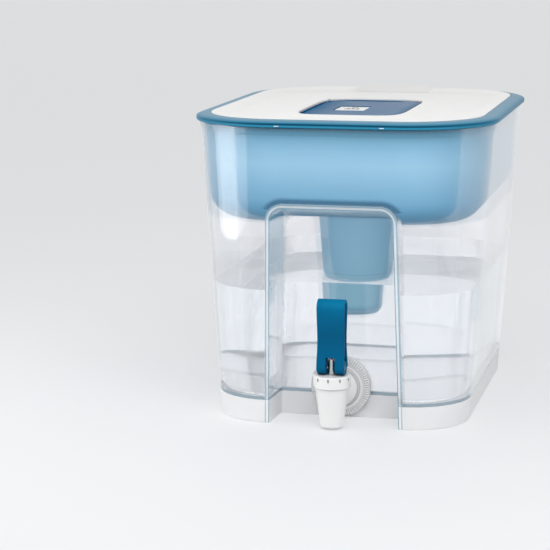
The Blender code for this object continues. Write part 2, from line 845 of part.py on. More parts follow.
def make_tap_body():
    here = (0.0, tap_y, 0.0)
    neck_top = barrel_top + neck_height
    outline = [
        (0.0, barrel_bottom),
        (barrel_bottom_radius - barrel_edge, barrel_bottom),
        (barrel_bottom_radius, barrel_bottom + barrel_edge),
        (barrel_top_radius, barrel_top - barrel_edge),
        (barrel_top_radius, barrel_top),
        (neck_radius, barrel_top),
        (neck_radius, neck_top),
        (0.0, neck_top),
    ]
    body = turned("tap_body", outline, white_plastic, here)
    shank_start = tap_y + barrel_edge
    flange_front = collar_front - gap - shank_flange_thickness
    shank = [
        (0.0, shank_start),
        (shank_neck_radius, shank_start),
        (shank_neck_radius, flange_front - shank_flange_thickness),
        (shank_flange_radius - shank_flange_thickness / 2, flange_front),
        (shank_flange_radius, flange_front + shank_flange_thickness / 2),
        (shank_flange_radius, flange_front + shank_flange_thickness),
        (shank_radius, flange_front + shank_flange_thickness),
        (shank_radius, shank_end - barrel_edge),
        (shank_radius - barrel_edge, shank_end),
        (0.0, shank_end),
    ]
    shank = [(radius, -y) for radius, y in shank]
    level = (0.0, 0.0, tap_axis_height)
    # Half a step of turn keeps the corners of crossing round shapes apart
    join(body, turned("tap shank", shank, location=level, tilt=lying @ half_step))
    bore_start = (0.0, shank_start + barrel_edge, tap_axis_height)
    bore_end = (0.0, shank_end + overrun, tap_axis_height)
    cut(body, rod("shank bore cutter", shank_bore_radius, bore_start, bore_end))
    bore = [
        (0.0, barrel_bottom - overrun),
        (spout_radius, barrel_bottom - overrun),
        (spout_radius, seat_height - seat_radius / 2),
        (seat_radius, seat_height),
        (seat_radius, chamber_floor - gap),
        (chamber_radius - chamber_edge, chamber_floor),
        (chamber_radius, chamber_floor + chamber_edge),
        (chamber_radius, neck_top + overrun),
        (0.0, neck_top + overrun),
    ]
    cut(body, turned("barrel cutter", bore, location=here, tilt=half_step))


def make_bonnet():
    here = Vector((0.0, tap_y, 0.0))
    ceiling = bonnet_top - bonnet_top_thickness
    bore = stem_radius + 2 * gap
    profile = [
        (neck_radius + gap, bonnet_bottom),
        (bonnet_radius - bonnet_edge / 2, bonnet_bottom),
        (bonnet_radius, bonnet_bottom + bonnet_edge / 2),
        (bonnet_radius, bonnet_top - bonnet_edge),
        (bonnet_radius - bonnet_edge, bonnet_top),
        (bore, bonnet_top),
        (bore, ceiling),
        (neck_radius + gap, ceiling),
    ]
    bonnet = turned("tap_bonnet", profile, white_plastic, here)
    for index in range(bonnet_notches):
        turn = Matrix.Rotation(2 * math.pi * (index + 0.5) / bonnet_notches, 4, "Z")
        shape = bmesh.new()
        size = Matrix.Diagonal((2 * bonnet_notch_depth, bonnet_notch_width, bonnet_notch_height, 1.0))
        middle_z = bonnet_top - bonnet_edge - bonnet_notch_height / 2
        middle = Matrix.Translation((bonnet_radius, 0.0, middle_z))
        bmesh.ops.create_cube(shape, size=1.0, matrix=turn @ middle @ size)
        cut(bonnet, place(f"bonnet notch cutter {index}", shape, location=here))


def make_collar():
    # The ring against the tank, with fine ribs round its outer band
    level = (0.0, 0.0, tap_axis_height)
    band = collar_radius - collar_band
    groove = band - collar_groove
    recess = gasket_radius + gap
    seat = collar_back - gasket_thickness - gap
    crest = collar_front + collar_band_slope / 2
    rings = []
    for index in range(2 * collar_ribs):
        angle = math.pi * index / collar_ribs
        dip = collar_rib_depth * (index % 2)
        section = [
            (shank_radius + gap, seat),
            (shank_radius + gap, collar_front),
            (groove, collar_front),
            (groove, collar_front + collar_groove),
            (band, collar_front + collar_groove),
            (band, crest + dip),
            (collar_radius - collar_groove / 2, collar_front + collar_band_slope + dip),
            (collar_radius, collar_front + 2 * collar_band_slope),
            (collar_radius, collar_back),
            (recess, collar_back),
            (recess, seat),
        ]
        around = Vector((math.cos(angle), 0.0, math.sin(angle)))
        rings.append([around * radius + Vector((0.0, y, 0.0)) for radius, y in section])
    return loft("tap_collar", rings, white_plastic, level, ring_shaped=True)


def washer(name, front):
    bore = shank_radius + gap
    back = front + gasket_thickness
    profile = [(bore, -front), (gasket_radius, -front), (gasket_radius, -back), (bore, -back)]
    turned(name, profile, grey_rubber, (0.0, 0.0, tap_axis_height), tilt=lying)


def make_tap_fittings():
    washer("tap_gasket_outer", alcove_back - gap - gasket_thickness)
    inner = alcove_back + tank_wall + gap
    washer("tap_gasket_inner", inner)
    level = (0.0, 0.0, tap_axis_height)
    nut_front = inner + gasket_thickness + gap
    nut_back = nut_front + nut_thickness
    hexagon = [(0.0, -nut_front), (nut_radius, -nut_front), (nut_radius, -nut_back), (0.0, -nut_back)]
    nut = turned("tap_lock_nut", hexagon, white_plastic, level, steps=6, tilt=lying)
    bore_start = (0.0, nut_front - overrun, tap_axis_height)
    bore_end = (0.0, nut_back + overrun, tap_axis_height)
    cut(nut, rod("nut bore cutter", shank_radius + gap, bore_start, bore_end))


def make_valve():
    here = Vector((0.0, tap_y, 0.0))
    pin_bore = pin_radius + gap
    stem_profile = [
        (0.0, stem_foot),
        (stem_radius, stem_foot),
        (stem_radius, stem_top - bonnet_edge / 2),
        (stem_radius - bonnet_edge / 2, stem_top),
        (0.0, stem_top),
    ]
    stem = turned("tap_stem", stem_profile, steel, here, steps=20)
    pin_start, pin_end = (-lever_half_width, tap_y, pivot_z), (lever_half_width, tap_y, pivot_z)
    cut(stem, rod("stem pin cutter", pin_bore, pin_start, pin_end, steps=16))

    bore = stem_radius + gap
    foot = stem_foot - gap - cup_seal_wall
    top = foot + cup_seal_height
    profile = [
        (0.0, foot),
        (seat_radius + cup_seal_wall / 4, foot),
        (cup_seal_radius, foot + cup_seal_wall),
        (cup_seal_radius, foot + 2 * cup_seal_wall),
        (bore + cup_seal_wall, top - cup_seal_wall),
        (bore + cup_seal_wall, top),
        (bore, top),
        (bore, stem_foot - gap),
        (0.0, stem_foot - gap),
    ]
    turned("valve_seat_cup", profile, grey_rubber, here, steps=24)

    # The return spring stands between the seat cup's shoulder and the bonnet
    low = top + gap + spring_wire
    high = bonnet_top - bonnet_top_thickness - gap - spring_wire
    curve = bpy.data.curves.new("tap_spring", "CURVE")
    curve.dimensions = "3D"
    curve.bevel_depth = spring_wire
    curve.bevel_resolution = 1
    curve.use_fill_caps = True
    curve.materials.append(steel)
    line = curve.splines.new("POLY")
    count = spring_turns * spring_points
    line.points.add(count)
    for index in range(count + 1):
        share = index / count
        angle = 2 * math.pi * spring_turns * share
        x, y = spring_radius * math.cos(angle), spring_radius * math.sin(angle)
        line.points[index].co = (x, y, blend(low, high, share), 1.0)
    spring = bpy.data.objects.new("tap_spring", curve)
    spring.location = here
    bpy.context.scene.collection.objects.link(spring)


# Lever: a hairpin strap on a forked heel, which lifts the stem as it tips forward

lever_half_width = 0.00995
lever_waist_half_width = 0.0092
lever_length = 0.0483
strap_thickness = 0.0022
strap_chamfer = 0.0005
loop_radius = 0.0065
waist_half_depth = 0.0034
foot_half_depth = 0.0062
waist_share = 0.42
strap_steps = 8
notch_half_width = 0.0033
notch_height = 0.0081
cheek_height = 0.0048
heel_height = 0.0041
heel_rear = 0.0058
lift_per_radian = 0.00205
lever_range = math.radians(80)
pin_radius = 0.0013
cam_steps = 8

pivot_z = bonnet_top + gap + heel_height


def strap_path():
    # The middle of the strap in the side view, from its front foot over the loop to its rear foot
    middle = loop_radius - strap_thickness / 2
    arc_z = lever_length - loop_radius
    foot_z = 0.0
    waist_z = blend(foot_z, arc_z, waist_share)
    front = []
    for step in range(strap_steps + 1):
        z = blend(foot_z, arc_z, step / strap_steps)
        if z < waist_z:
            low, high, share = foot_half_depth, waist_half_depth, z / waist_z
        else:
            low, high, share = waist_half_depth, middle, (z - waist_z) / (arc_z - waist_z)
        front.append((-blend(low, high, (1 - math.cos(math.pi * share)) / 2), z))
    loop = []
    for step in range(1, strap_steps):
        angle = math.pi * step / strap_steps
        loop.append((-middle * math.cos(angle), arc_z + middle * math.sin(angle)))
    rear = [(-y, z) for y, z in reversed(front)]
    return front + loop + rear


def make_lever():
    pivot = Vector((0.0, tap_y, pivot_z))
    path = strap_path()
    top = max(z for _, z in path)
    rings = []
    for index, (y, z) in enumerate(path):
        before = path[max(index - 1, 0)]
        after = path[min(index + 1, len(path) - 1)]
        along = Vector((0.0, after[0] - before[0], after[1] - before[1])).normalized()
        across = Vector((0.0, -along.z, along.y))
        dip = math.sin(math.pi * min(max(z / top, 0.0), 1.0))
        half = blend(lever_half_width, lever_waist_half_width, dip)
        thick = strap_thickness / 2
        outline = (
            (half, thick - strap_chamfer),
            (half - strap_chamfer, thick),
            (strap_chamfer - half, thick),
            (-half, thick - strap_chamfer),
            (-half, strap_chamfer - thick),
            (strap_chamfer - half, -thick),
            (half - strap_chamfer, -thick),
            (half, strap_chamfer - thick),
        )
        centre = Vector((0.0, y, z))
        rings.append([centre + Vector((x, 0.0, 0.0)) + across * depth for x, depth in outline])
    strap = loft("lever", rings, deep_blue, pivot)

    # The heel's front is a cam: its reach to the bonnet grows evenly with the tilt
    cam = []
    for step in range(cam_steps + 1):
        tilt = lever_range * step / cam_steps
        reach = heel_height + lift_per_radian * tilt
        y = -(reach * math.sin(tilt) + lift_per_radian * math.cos(tilt))
        cam.append((y, lift_per_radian * math.sin(tilt) - reach * math.cos(tilt)))
    top_z = cheek_height
    cam.append((cam[-1][0], strap_thickness))
    cam.append((-waist_half_depth, top_z))
    cam.append((waist_half_depth, top_z))
    cam.append((foot_half_depth, strap_thickness))
    cam.append((foot_half_depth, -heel_height / 2))
    cam.append((heel_rear - strap_thickness, -heel_height))
    for side in (-1, 1):
        ends = (side * notch_half_width / 2, side * (lever_half_width - strap_chamfer))
        rings = [[Vector((x, y, z)) for y, z in cam] for x in ends]
        join(strap, loft(f"lever cheek {side}", rings, location=pivot))
    slot_low = (-notch_half_width, -loop_radius - overrun, -heel_height - overrun)
    slot_high = (notch_half_width, loop_radius + overrun, notch_height)
    cut(strap, block("lever slot cutter", slot_low, slot_high, location=pivot))
    reach = lever_half_width + overrun
    pin_start, pin_end = (-reach, tap_y, pivot_z), (reach, tap_y, pivot_z)
    cut(strap, rod("lever pin cutter", pin_radius + gap, pin_start, pin_end, steps=16))
    half = lever_half_width - strap_chamfer - gap
    rod("lever_pin", pin_radius, (-half, tap_y, pivot_z), (half, tap_y, pivot_z), steel, steps=16)
    return strap


make_tank()
make_funnel()
make_lid()
make_flap()
make_gauge()
make_cartridge()
make_tap_body()
make_bonnet()
make_collar()
make_tap_fittings()
make_valve()
make_lever()
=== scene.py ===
import json
from functools import partial
from math import copysign, cos, pi, radians, sin

import bmesh
import bpy
from mathutils import Matrix, Vector

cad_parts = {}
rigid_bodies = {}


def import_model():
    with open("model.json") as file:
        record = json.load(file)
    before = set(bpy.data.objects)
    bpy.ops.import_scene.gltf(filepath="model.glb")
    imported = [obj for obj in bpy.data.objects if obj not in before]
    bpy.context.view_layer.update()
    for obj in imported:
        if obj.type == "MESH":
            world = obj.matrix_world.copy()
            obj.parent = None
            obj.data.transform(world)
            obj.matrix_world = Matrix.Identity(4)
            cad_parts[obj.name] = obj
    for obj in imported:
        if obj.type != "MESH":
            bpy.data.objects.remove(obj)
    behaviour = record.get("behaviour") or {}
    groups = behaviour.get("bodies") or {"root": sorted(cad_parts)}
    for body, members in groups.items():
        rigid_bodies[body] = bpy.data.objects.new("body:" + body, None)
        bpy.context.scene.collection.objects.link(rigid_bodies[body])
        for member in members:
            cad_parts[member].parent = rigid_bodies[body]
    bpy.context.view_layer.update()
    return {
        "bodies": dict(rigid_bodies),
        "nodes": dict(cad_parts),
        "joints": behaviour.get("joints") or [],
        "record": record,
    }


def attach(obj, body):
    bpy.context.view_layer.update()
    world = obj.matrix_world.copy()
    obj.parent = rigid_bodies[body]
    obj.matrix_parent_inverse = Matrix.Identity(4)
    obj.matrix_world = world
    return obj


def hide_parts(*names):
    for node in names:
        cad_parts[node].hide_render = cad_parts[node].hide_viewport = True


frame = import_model()

quarter = pi / 2
clearance = 0.3  # between pieces that bear on each other
beyond = 4  # how far a cutter reaches past what it cuts
sharpAngle = 35  # edges that turn by more than this, in degrees, are rounded and shaded as edges


def linear(hexColour):
    parts = [int(hexColour[i:i + 2], 16) / 255 for i in (1, 3, 5)]
    return tuple(p / 12.92 if p <= 0.04045 else ((p + 0.055) / 1.055) ** 2.4 for p in parts) + (1.0,)


def addNode(tree, kind, *inputs, **values):
    # plain inputs go to the open sockets in turn, and a named value goes to its property or socket
    kind, _, mode = kind.partition(" ")
    node = tree.nodes.new("ShaderNode" + kind)
    if mode:
        setattr(node, "data_type" if kind == "Mix" else "operation", mode)
    for key in [key for key in values if hasattr(node, key)]:
        setattr(node, key, values.pop(key))
    sockets = [socket for socket in node.inputs if socket.enabled]
    named = {socket.name.replace(" ", "_"): socket for socket in reversed(sockets)}
    for target, value in [*zip(sockets, inputs), *((named[key], value) for key, value in values.items())]:
        if isinstance(value, bpy.types.Node):
            value = next(socket for socket in value.outputs if socket.enabled)
        if isinstance(value, bpy.types.NodeSocket):
            tree.links.new(value, target)
        else:
            target.default_value = value
    return node


def newMaterial(name, recipe, *values):
    # a recipe adds its nodes and returns the surface and, where there is one, the volume
    made = bpy.data.materials.new(name)
    made.use_nodes = True
    made.node_tree.nodes.clear()
    add = partial(addNode, made.node_tree)
    add("OutputMaterial", *recipe(add, *values))
    return made


# Shapes

def mix(a, b, share):
    return a + (b - a) * share


def ease(share):
    # from nought to one, level at both ends
    return (1 - cos(pi * share)) / 2


def arc(steps=8, first=0):
    # sine and cosine at even steps of a quarter turn
    angles = [quarter * step / steps for step in range(first, steps + 1)]
    return [(sin(angle), cos(angle)) for angle in angles]


def roundedOblong(halfX, halfY, radius, steps):
    # anticlockwise from the right side
    points = []
    for corner, (sideX, sideY) in enumerate(((1, 1), (-1, 1), (-1, -1), (1, -1))):
        for step in range(steps + 1):
            angle = quarter * (corner + step / steps)
            points.append((sideX * (halfX - radius) + radius * cos(angle),
                           sideY * (halfY - radius) + radius * sin(angle)))
    return points


def toObject(name, shape):
    bmesh.ops.remove_doubles(shape, verts=shape.verts, dist=0.001)
    bmesh.ops.recalc_face_normals(shape, faces=shape.faces)
    bmesh.ops.scale(shape, vec=(0.001, 0.001, 0.001), verts=shape.verts)  # millimetres to metres
    mesh = bpy.data.meshes.new(name)
    shape.to_mesh(mesh)
    shape.free()
    piece = bpy.data.objects.new(name, mesh)
    bpy.context.scene.collection.objects.link(piece)
    return piece


def skin(name, rings, closed=False):
    # one face strip between each pair of outlines, with caps unless the row closes on itself
    shape = bmesh.new()
    rows = [[shape.verts.new(point) for point in ring] for ring in rings]
    pairs = list(zip(rows, rows[1:]))
    if closed:
        pairs.append((rows[-1], rows[0]))
    else:
        shape.faces.new(rows[0])
        shape.faces.new(rows[-1])
    for lower, upper in pairs:
        for i in range(len(lower)):
            j = (i + 1) % len(lower)
            shape.faces.new((lower[i], lower[j], upper[j], upper[i]))
    return toObject(name, shape)


def spin(name, profile, centre=(0, 0, 0), lying=False):
    # turns (radius, height) points about an upright axis, or about a level one along Y
    shape = bmesh.new()
    points = [shape.verts.new((radius, 0, height)) for radius, height in profile]
    edges = [shape.edges.new((a, b)) for a, b in zip(points, points[1:] + points[:1]) if a.co.x or b.co.x]
    bmesh.ops.spin(shape, geom=points + edges, cent=(0, 0, 0), axis=(0, 0, 1),
                   angle=2 * pi, steps=96, use_merge=True)
    if lying:
        bmesh.ops.transform(shape, matrix=Matrix.Rotation(quarter, 4, "X"), verts=shape.verts)
    bmesh.ops.translate(shape, vec=centre, verts=shape.verts)
    return toObject(name, shape)


def rod(name, radius, start, end, steps=48):
    start, end = Vector(start), Vector(end)
    shape = bmesh.new()
    bmesh.ops.create_cone(shape, cap_ends=True, segments=steps, radius1=radius, radius2=radius,
                          depth=(end - start).length)
    turn = (end - start).to_track_quat("Z", "Y").to_matrix().to_4x4()
    bmesh.ops.transform(shape, matrix=Matrix.Translation((start + end) / 2) @ turn, verts=shape.verts)
    return toObject(name, shape)


def brick(name, low, high, edge=0):
    # a block between two corners, with its upright edges rounded if asked
    low, high = Vector(low), Vector(high)
    shape = bmesh.new()
    bmesh.ops.create_cube(shape, size=1, matrix=Matrix.Translation((low + high) / 2)
                          @ Matrix.Diagonal((*(high - low), 1)))
    if edge:
        upright = [e for e in shape.edges if abs(e.verts[0].co.z - e.verts[1].co.z) > 0.1]
        bmesh.ops.bevel(shape, geom=upright, offset=edge, segments=6, affect="EDGES", profile=0.5)
    return toObject(name, shape)


def bake(piece):
    # applies the piece's modifiers to its mesh
    graph = bpy.context.evaluated_depsgraph_get()
    mesh = bpy.data.meshes.new_from_object(piece.evaluated_get(graph))
    piece.modifiers.clear()
    piece.data = mesh


def combine(piece, operation, *others):
    for other in others:
        step = piece.modifiers.new(operation, "BOOLEAN")
        step.operation = operation
        step.solver = "EXACT"
        step.object = other
    bake(piece)
    for other in others:
        bpy.data.objects.remove(other, do_unlink=True)
    return piece


def shadeSmooth(piece, angle=sharpAngle):
    piece.data.shade_smooth()
    piece.data.set_sharp_from_angle(angle=radians(angle))


def soften(piece, width, segments=2, angle=sharpAngle, edgeSlot=-1):
    # rounds the sharp edges and keeps flat faces flat
    if width:
        bevel = piece.modifiers.new("rounded edges", "BEVEL")
        bevel.width = width / 1000
        bevel.segments = segments
        bevel.limit_method = "ANGLE"
        bevel.angle_limit = radians(angle)
        bevel.use_clamp_overlap = True
        bevel.material = edgeSlot
        bake(piece)
    shadeSmooth(piece, angle)
    normals = piece.modifiers.new("flat faces stay flat", "WEIGHTED_NORMAL")
    normals.keep_sharp = True
    bake(piece)


def finishPiece(piece, material, body, node=None):
    if material:
        piece.data.materials.clear()
        piece.data.materials.append(material)
    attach(piece, body)
    if node:
        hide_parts(node)
    print("piece", piece.name, len(piece.data.polygons), "faces")


# Materials

def colourBands(add, value, stops):
    # a colour and a cover for each value, from (millimetres, colour, cover) with the lowest first
    low, high = stops[0][0], stops[-1][0]
    share = add("MapRange", Value=value, From_Min=low / 1000, From_Max=high / 1000)
    ramp = add("ValToRGB", Fac=share)
    bands = ramp.color_ramp.elements
    for at, _, _ in stops[1:-1]:
        bands.new((at - low) / (high - low))
    for band, (_, colour, cover) in zip(bands, stops):
        band.color = linear(colour)[:3] + (cover,)
    return ramp


def heightTint(add, place, stops):
    # a colour for each height, from (millimetres, colour)
    height = add("SeparateXYZ", Vector=place).outputs["Z"]
    return colourBands(add, height, [(at, colour, 1.0) for at, colour in stops])


def mouthDistance(add, split, centreX, centreZ, radius, draft):
    # how far a point lies outside a rounded oblong seen from the front, whose sides widen downwards
    side = add("Math ABSOLUTE", split["X"])
    above = add("Math SUBTRACT", split["Z"], centreZ)
    below = add("Math MINIMUM", above, 0.0)
    across = add("Math MULTIPLY_ADD", below, draft, side)
    beside = add("Math SUBTRACT", across, centreX)
    beyondX = add("Math MAXIMUM", beside, 0.0)
    beyondZ = add("Math MAXIMUM", above, 0.0)
    corner = add("CombineXYZ", X=beyondX, Z=beyondZ)
    away = add("VectorMath LENGTH", corner)
    return add("Math SUBTRACT", away, radius)


tankLook = {
    "clear": "#FEFEFF", "line": "#8298A6", "lineLow": 0.0166, "lineHigh": 0.0190, "lineThrough": 0.35,
    "skirt": "#FBFBFC", "skirtThrough": 0.25, "rough": 0.02, "skirtRough": 0.5, "straightShare": 0.8,
    "depthColour": (0.36, 0.52, 0.60, 1), "density": 11.0,
    "mouthX": 0.03371, "mouthZ": 0.1444, "mouthRadius": 0.009, "mouthDraft": 0.02244, "mouthFront": -0.118,
    "mouthBands": [(0, "#5F8CA3", 0.75), (0.5, "#5F8CA3", 0.75), (0.9, "#FBFEFF", 0.45),
                   (1.9, "#FBFEFF", 0.45), (2.3, "#7FA6B8", 0.6), (2.8, "#7FA6B8", 0.6),
                   (3.4, "#FBFEFF", 0.0)],
    "roof": "#DCEEF7", "roofCover": 0.78, "roofLow": 0.139, "roofHigh": 0.165,
}


def clearTankPlastic(add):
    # SAN, injection moulded and polished: clear and hard, with blue-grey depth along its edges, and painted
    # shade and painted highlights at the floor's height, round the alcove's mouth and on its roof
    look = tankLook
    spot = add("TexCoord").outputs
    split = add("SeparateXYZ", Vector=spot["Object"]).outputs
    height = split["Z"]
    # below the floor the skirt is blasted and looks pale and cloudy
    frosted = add("Math LESS_THAN", height, look["lineLow"])
    # a thin blue-grey line is painted round the upright walls at the floor's height, a painted shade that
    # stands for the floor's edge showing through them
    under = add("Math LESS_THAN", height, look["lineHigh"])
    facing = add("SeparateXYZ", Vector=spot["Normal"]).outputs
    slope = add("Math ABSOLUTE", facing["Z"])
    upright = add("Math LESS_THAN", slope, 0.4)
    band = add("Math SUBTRACT", under, frosted)
    line = add("Math MULTIPLY", band, upright)
    rough = add("MapRange", Value=frosted, To_Min=look["rough"], To_Max=look["skirtRough"])
    frost = add("MapRange", Value=frosted, To_Min=1.0, To_Max=look["skirtThrough"])
    through = add("MapRange", Value=line, To_Min=frost, To_Max=look["lineThrough"])
    pale = add("Mix RGBA", frosted, linear(look["clear"]), linear(look["skirt"]))
    tone = add("Mix RGBA", line, pale, linear(look["line"]))
    # slow ripple left by the mould, about 45 mm long
    ripple = add("TexNoise", Vector=spot["Object"], Scale=22.0, Detail=1.0)
    bump = add("Bump", Height=ripple, Strength=0.02, Distance=0.002)
    bent = add("BsdfPrincipled", Base_Color=tone, Roughness=rough, IOR=1.5, Transmission_Weight=through,
               Normal=bump)
    # the walls are thin and even, so most of the light goes straight through them
    fresnel = add("Fresnel", IOR=1.5, Normal=bump)
    # the straight part reflects where light enters, as much as both faces of the thin wall would
    leaving = add("NewGeometry").outputs["Backfacing"]
    entering = add("Math SUBTRACT", 1.0, leaving)
    once = add("Math MULTIPLY", fresnel, entering)
    twice = add("Math MULTIPLY", once, 2.0)
    more = add("Math ADD", once, 1.0)
    sheen = add("Math DIVIDE", twice, more)
    passing = add("BsdfTransparent", Color=linear(look["clear"]))
    mirror = add("BsdfGlossy", Roughness=look["rough"], Normal=bump)
    straight = add("MixShader", sheen, passing, mirror)
    share = add("MapRange", Value=through, From_Min=look["skirtThrough"], To_Max=look["straightShare"])
    wall = add("MixShader", share, bent, straight)
    # round the alcove's mouth a pale band between two blue-grey lines is painted on, a painted highlight and
    # painted shade that stand for the wall's thickness bending the light
    outside = mouthDistance(add, split, look["mouthX"], look["mouthZ"], look["mouthRadius"],
                            look["mouthDraft"])
    bands = colourBands(add, outside, look["mouthBands"]).outputs
    ahead = add("Math LESS_THAN", split["Y"], look["mouthFront"])
    outward = add("Math LESS_THAN", facing["Y"], -0.7)
    front = add("Math MULTIPLY", ahead, outward)
    lines = add("Math MULTIPLY", front, bands["Alpha"])
    # a pale colour is painted over the alcove's roof along its length, a painted highlight that stands for
    # the light it catches
    flat = add("MapRange", Value=slope, From_Min=0.2, From_Max=0.7, To_Max=look["roofCover"])
    overRoof = add("Math LESS_THAN", height, look["roofHigh"])
    underRoof = add("Math GREATER_THAN", height, look["roofLow"])
    atRoof = add("Math MULTIPLY", overRoof, underRoof)
    roof = add("Math MULTIPLY", atRoof, flat)
    cover = add("Math MAXIMUM", roof, lines)
    paint = add("Mix RGBA", front, linear(look["roof"]), bands["Color"])
    # an opaque coat that carries the painted highlight on the roof and the painted lines round the mouth
    cloudAndPaint = add("BsdfPrincipled", Base_Color=paint, Roughness=0.2, IOR=1.5)
    whole = add("MixShader", cover, wall, cloudAndPaint)
    depth = add("VolumeAbsorption", Color=look["depthColour"], Density=look["density"])
    return whole, depth


funnelLook = {
    "clear": "#F2F9FD", "cloudShare": 0.75, "glowShare": 0.3, "glow": 0.42, "rimGlow": 0.18, "rimLow": 0.2088,
    "depthColour": (0.05, 0.62, 0.76, 1), "density": 80.0,
    "archX": 0.0340, "archZ": 0.1432, "archRadius": 0.0138, "archRear": -0.1262, "archColour": "#5BA6C6",
    "archBands": [(-1, "#0B6284", 1.0), (1.9, "#0B6284", 0.95), (4.5, "#2E88AA", 0.0)],
    "grazeColour": "#2F7F9F", "grazeShare": 0.8,
    # colours by height, which paint light and shade over the blue: the cup in the water, the cup with a
    # painted dark line at the water's surface, the rounded bottom in painted shade, the face, painted shade
    # under the rim, the lip with painted dark lines, the crown lighter as a painted highlight
    "tints": [(67, "#4F9CBC"), (75, "#B4E0F0"), (94.8, "#B8E4F4"), (95.4, "#4FA0BE"), (96.4, "#98CEE2"),
              (138, "#98CCE2"), (142, "#24779A"), (146, "#3D90B2"), (152, "#5FA9CA"), (160, "#7DBBD8"),
              (172, "#98CDE4"), (184, "#ACDAEE"), (193, "#9CD0E6"), (200, "#84C0D8"), (206, "#4095B2"),
              (208.9, "#033A55"), (209.6, "#033A55"), (209.9, "#3C9FC0"), (210.9, "#2C8CB0"),
              (211.2, "#034360"), (212.2, "#034360"), (212.7, "#2F86A8"), (213.5, "#86C2DE"),
              (214.1, "#BCE0F2"), (215, "#BCE0F2")],
}


def blueFunnelPlastic(add):
    # SAN tinted in the mass: light blue across its thin walls, teal along its edges, softly cloudy, with
    # painted light and shade by height and round the arch, and a faint painted glow
    look = funnelLook
    spot = add("TexCoord").outputs
    ripple = add("TexNoise", Vector=spot["Object"], Scale=18.0, Detail=2.0)
    rough = add("MapRange", Value=ripple, To_Min=0.28, To_Max=0.34)
    bump = add("Bump", Height=ripple, Strength=0.04, Distance=0.002)
    body = heightTint(add, spot["Object"], look["tints"])
    # painted shade edges the arch with deep teal on the face, and the arch's own wall is given a lighter teal
    split = add("SeparateXYZ", Vector=spot["Object"]).outputs
    outside = mouthDistance(add, split, look["archX"], look["archZ"], look["archRadius"], 0.0)
    bands = colourBands(add, outside, look["archBands"]).outputs
    ahead = add("Math LESS_THAN", split["Y"], look["archRear"])
    archShare = add("Math MULTIPLY", bands["Alpha"], ahead)
    facing = add("SeparateXYZ", Vector=spot["Normal"]).outputs
    toFront = add("Math LESS_THAN", facing["Y"], -0.6)
    edging = add("Mix RGBA", toFront, linear(look["archColour"]), bands["Color"])
    teal = add("Mix RGBA", archShare, body, edging)
    # where the wall is looked along, more of the tinted plastic lies in the way
    along = add("LayerWeight", Blend=0.72).outputs["Facing"]
    graze = add("Math MULTIPLY", along, look["grazeShare"])
    tint = add("Mix RGBA", graze, teal, linear(look["grazeColour"]))
    # the thick rim and the arch let nothing be seen through them
    thick = add("Math GREATER_THAN", split["Z"], look["rimLow"])
    dense = add("Math MAXIMUM", thick, archShare)
    cloudAndPaint = add("MapRange", Value=dense, To_Min=look["cloudShare"], To_Max=1.0)
    shine = add("MapRange", Value=thick, To_Min=look["glow"], To_Max=look["rimGlow"])
    clear = add("BsdfPrincipled", Base_Color=linear(look["clear"]), Roughness=rough, IOR=1.5,
                Transmission_Weight=1.0, Normal=bump)
    # a painted glow: it shines a little, standing for the light that the cloudy wall spreads
    cloud = add("BsdfPrincipled", Base_Color=tint, Roughness=0.3, IOR=1.5, Specular_IOR_Level=0.12,
                Emission_Color=tint, Emission_Strength=shine)
    glow = add("BsdfTranslucent", Color=tint)
    milk = add("MixShader", look["glowShare"], cloud, glow)
    whole = add("MixShader", cloudAndPaint, clear, milk)
    depth = add("VolumeAbsorption", Color=look["depthColour"], Density=look["density"])
    return whole, depth


mouldedLook = {
    "roughness": 0.3, "grain": 0.1, "ior": 1.5, "scatter": 0.0, "groove": "#6B6F74", "grooves": 0.6,
    "gloss": 0.5, "shineLeft": -1.0, "shineRight": -0.9,
}


def mouldedPlastic(add, colour, shade, changes):
    # an opaque moulding in one colour or in one for each height, which drifts a little to a second shade
    look = {**mouldedLook, **changes}
    place = add("TexCoord").outputs["Object"]
    # a faint grain of about 0.3 mm breaks up its highlights
    grain = add("TexNoise", Vector=place, Scale=3300.0, Detail=2.0)
    cloud = add("TexNoise", Vector=place, Scale=45.0, Detail=3.0)
    rough = add("MapRange", Value=cloud, To_Min=look["roughness"] - 0.04, To_Max=look["roughness"] + 0.04)
    base = linear(colour) if isinstance(colour, str) else heightTint(add, place, colour)
    drift = add("Mix RGBA", cloud, base, linear(shade))
    bump = add("Bump", Height=grain, Strength=look["grain"], Distance=0.00005)
    # painted shade: grooves a few millimetres wide are darkened by ambient occlusion, a little darker than
    # the faces round them
    bare = add("AmbientOcclusion", Color=drift, Distance=0.003, samples=8).outputs["AO"]
    hollow = add("MapRange", Value=bare, To_Min=look["grooves"], To_Max=0.0)
    tone = add("Mix RGBA", hollow, drift, linear(look["groove"]))
    # a painted reflection: a glossy lid part shines more towards its right, as if the room were lighter there
    across = add("SeparateXYZ", Vector=place)
    shine = add("MapRange", Value=across, From_Min=look["shineLeft"], From_Max=look["shineRight"], To_Min=0.0,
                To_Max=look["gloss"])
    shader = add("BsdfPrincipled", Base_Color=tone, Roughness=rough, IOR=look["ior"],
                 Specular_IOR_Level=shine, Normal=bump, Subsurface_Weight=look["scatter"],
                 Subsurface_Scale=0.001)
    return [shader]


def brushedSteel(add):
    # turned stainless steel: fine grooves round the pin, about 0.1 mm apart, stretch its highlight
    place = add("TexCoord").outputs["Object"]
    stretch = add("Mapping", Vector=place, Scale=(300.0, 300.0, 9000.0))
    grooves = add("TexNoise", Vector=stretch, Scale=1.0, Detail=3.0)
    rough = add("MapRange", Value=grooves, To_Min=0.18, To_Max=0.34)
    bump = add("Bump", Height=grooves, Strength=0.25, Distance=0.00004)
    shader = add("BsdfPrincipled", Base_Color=linear("#C4C2C2"), Metallic=1.0, Roughness=rough, Normal=bump)
    return [shader]


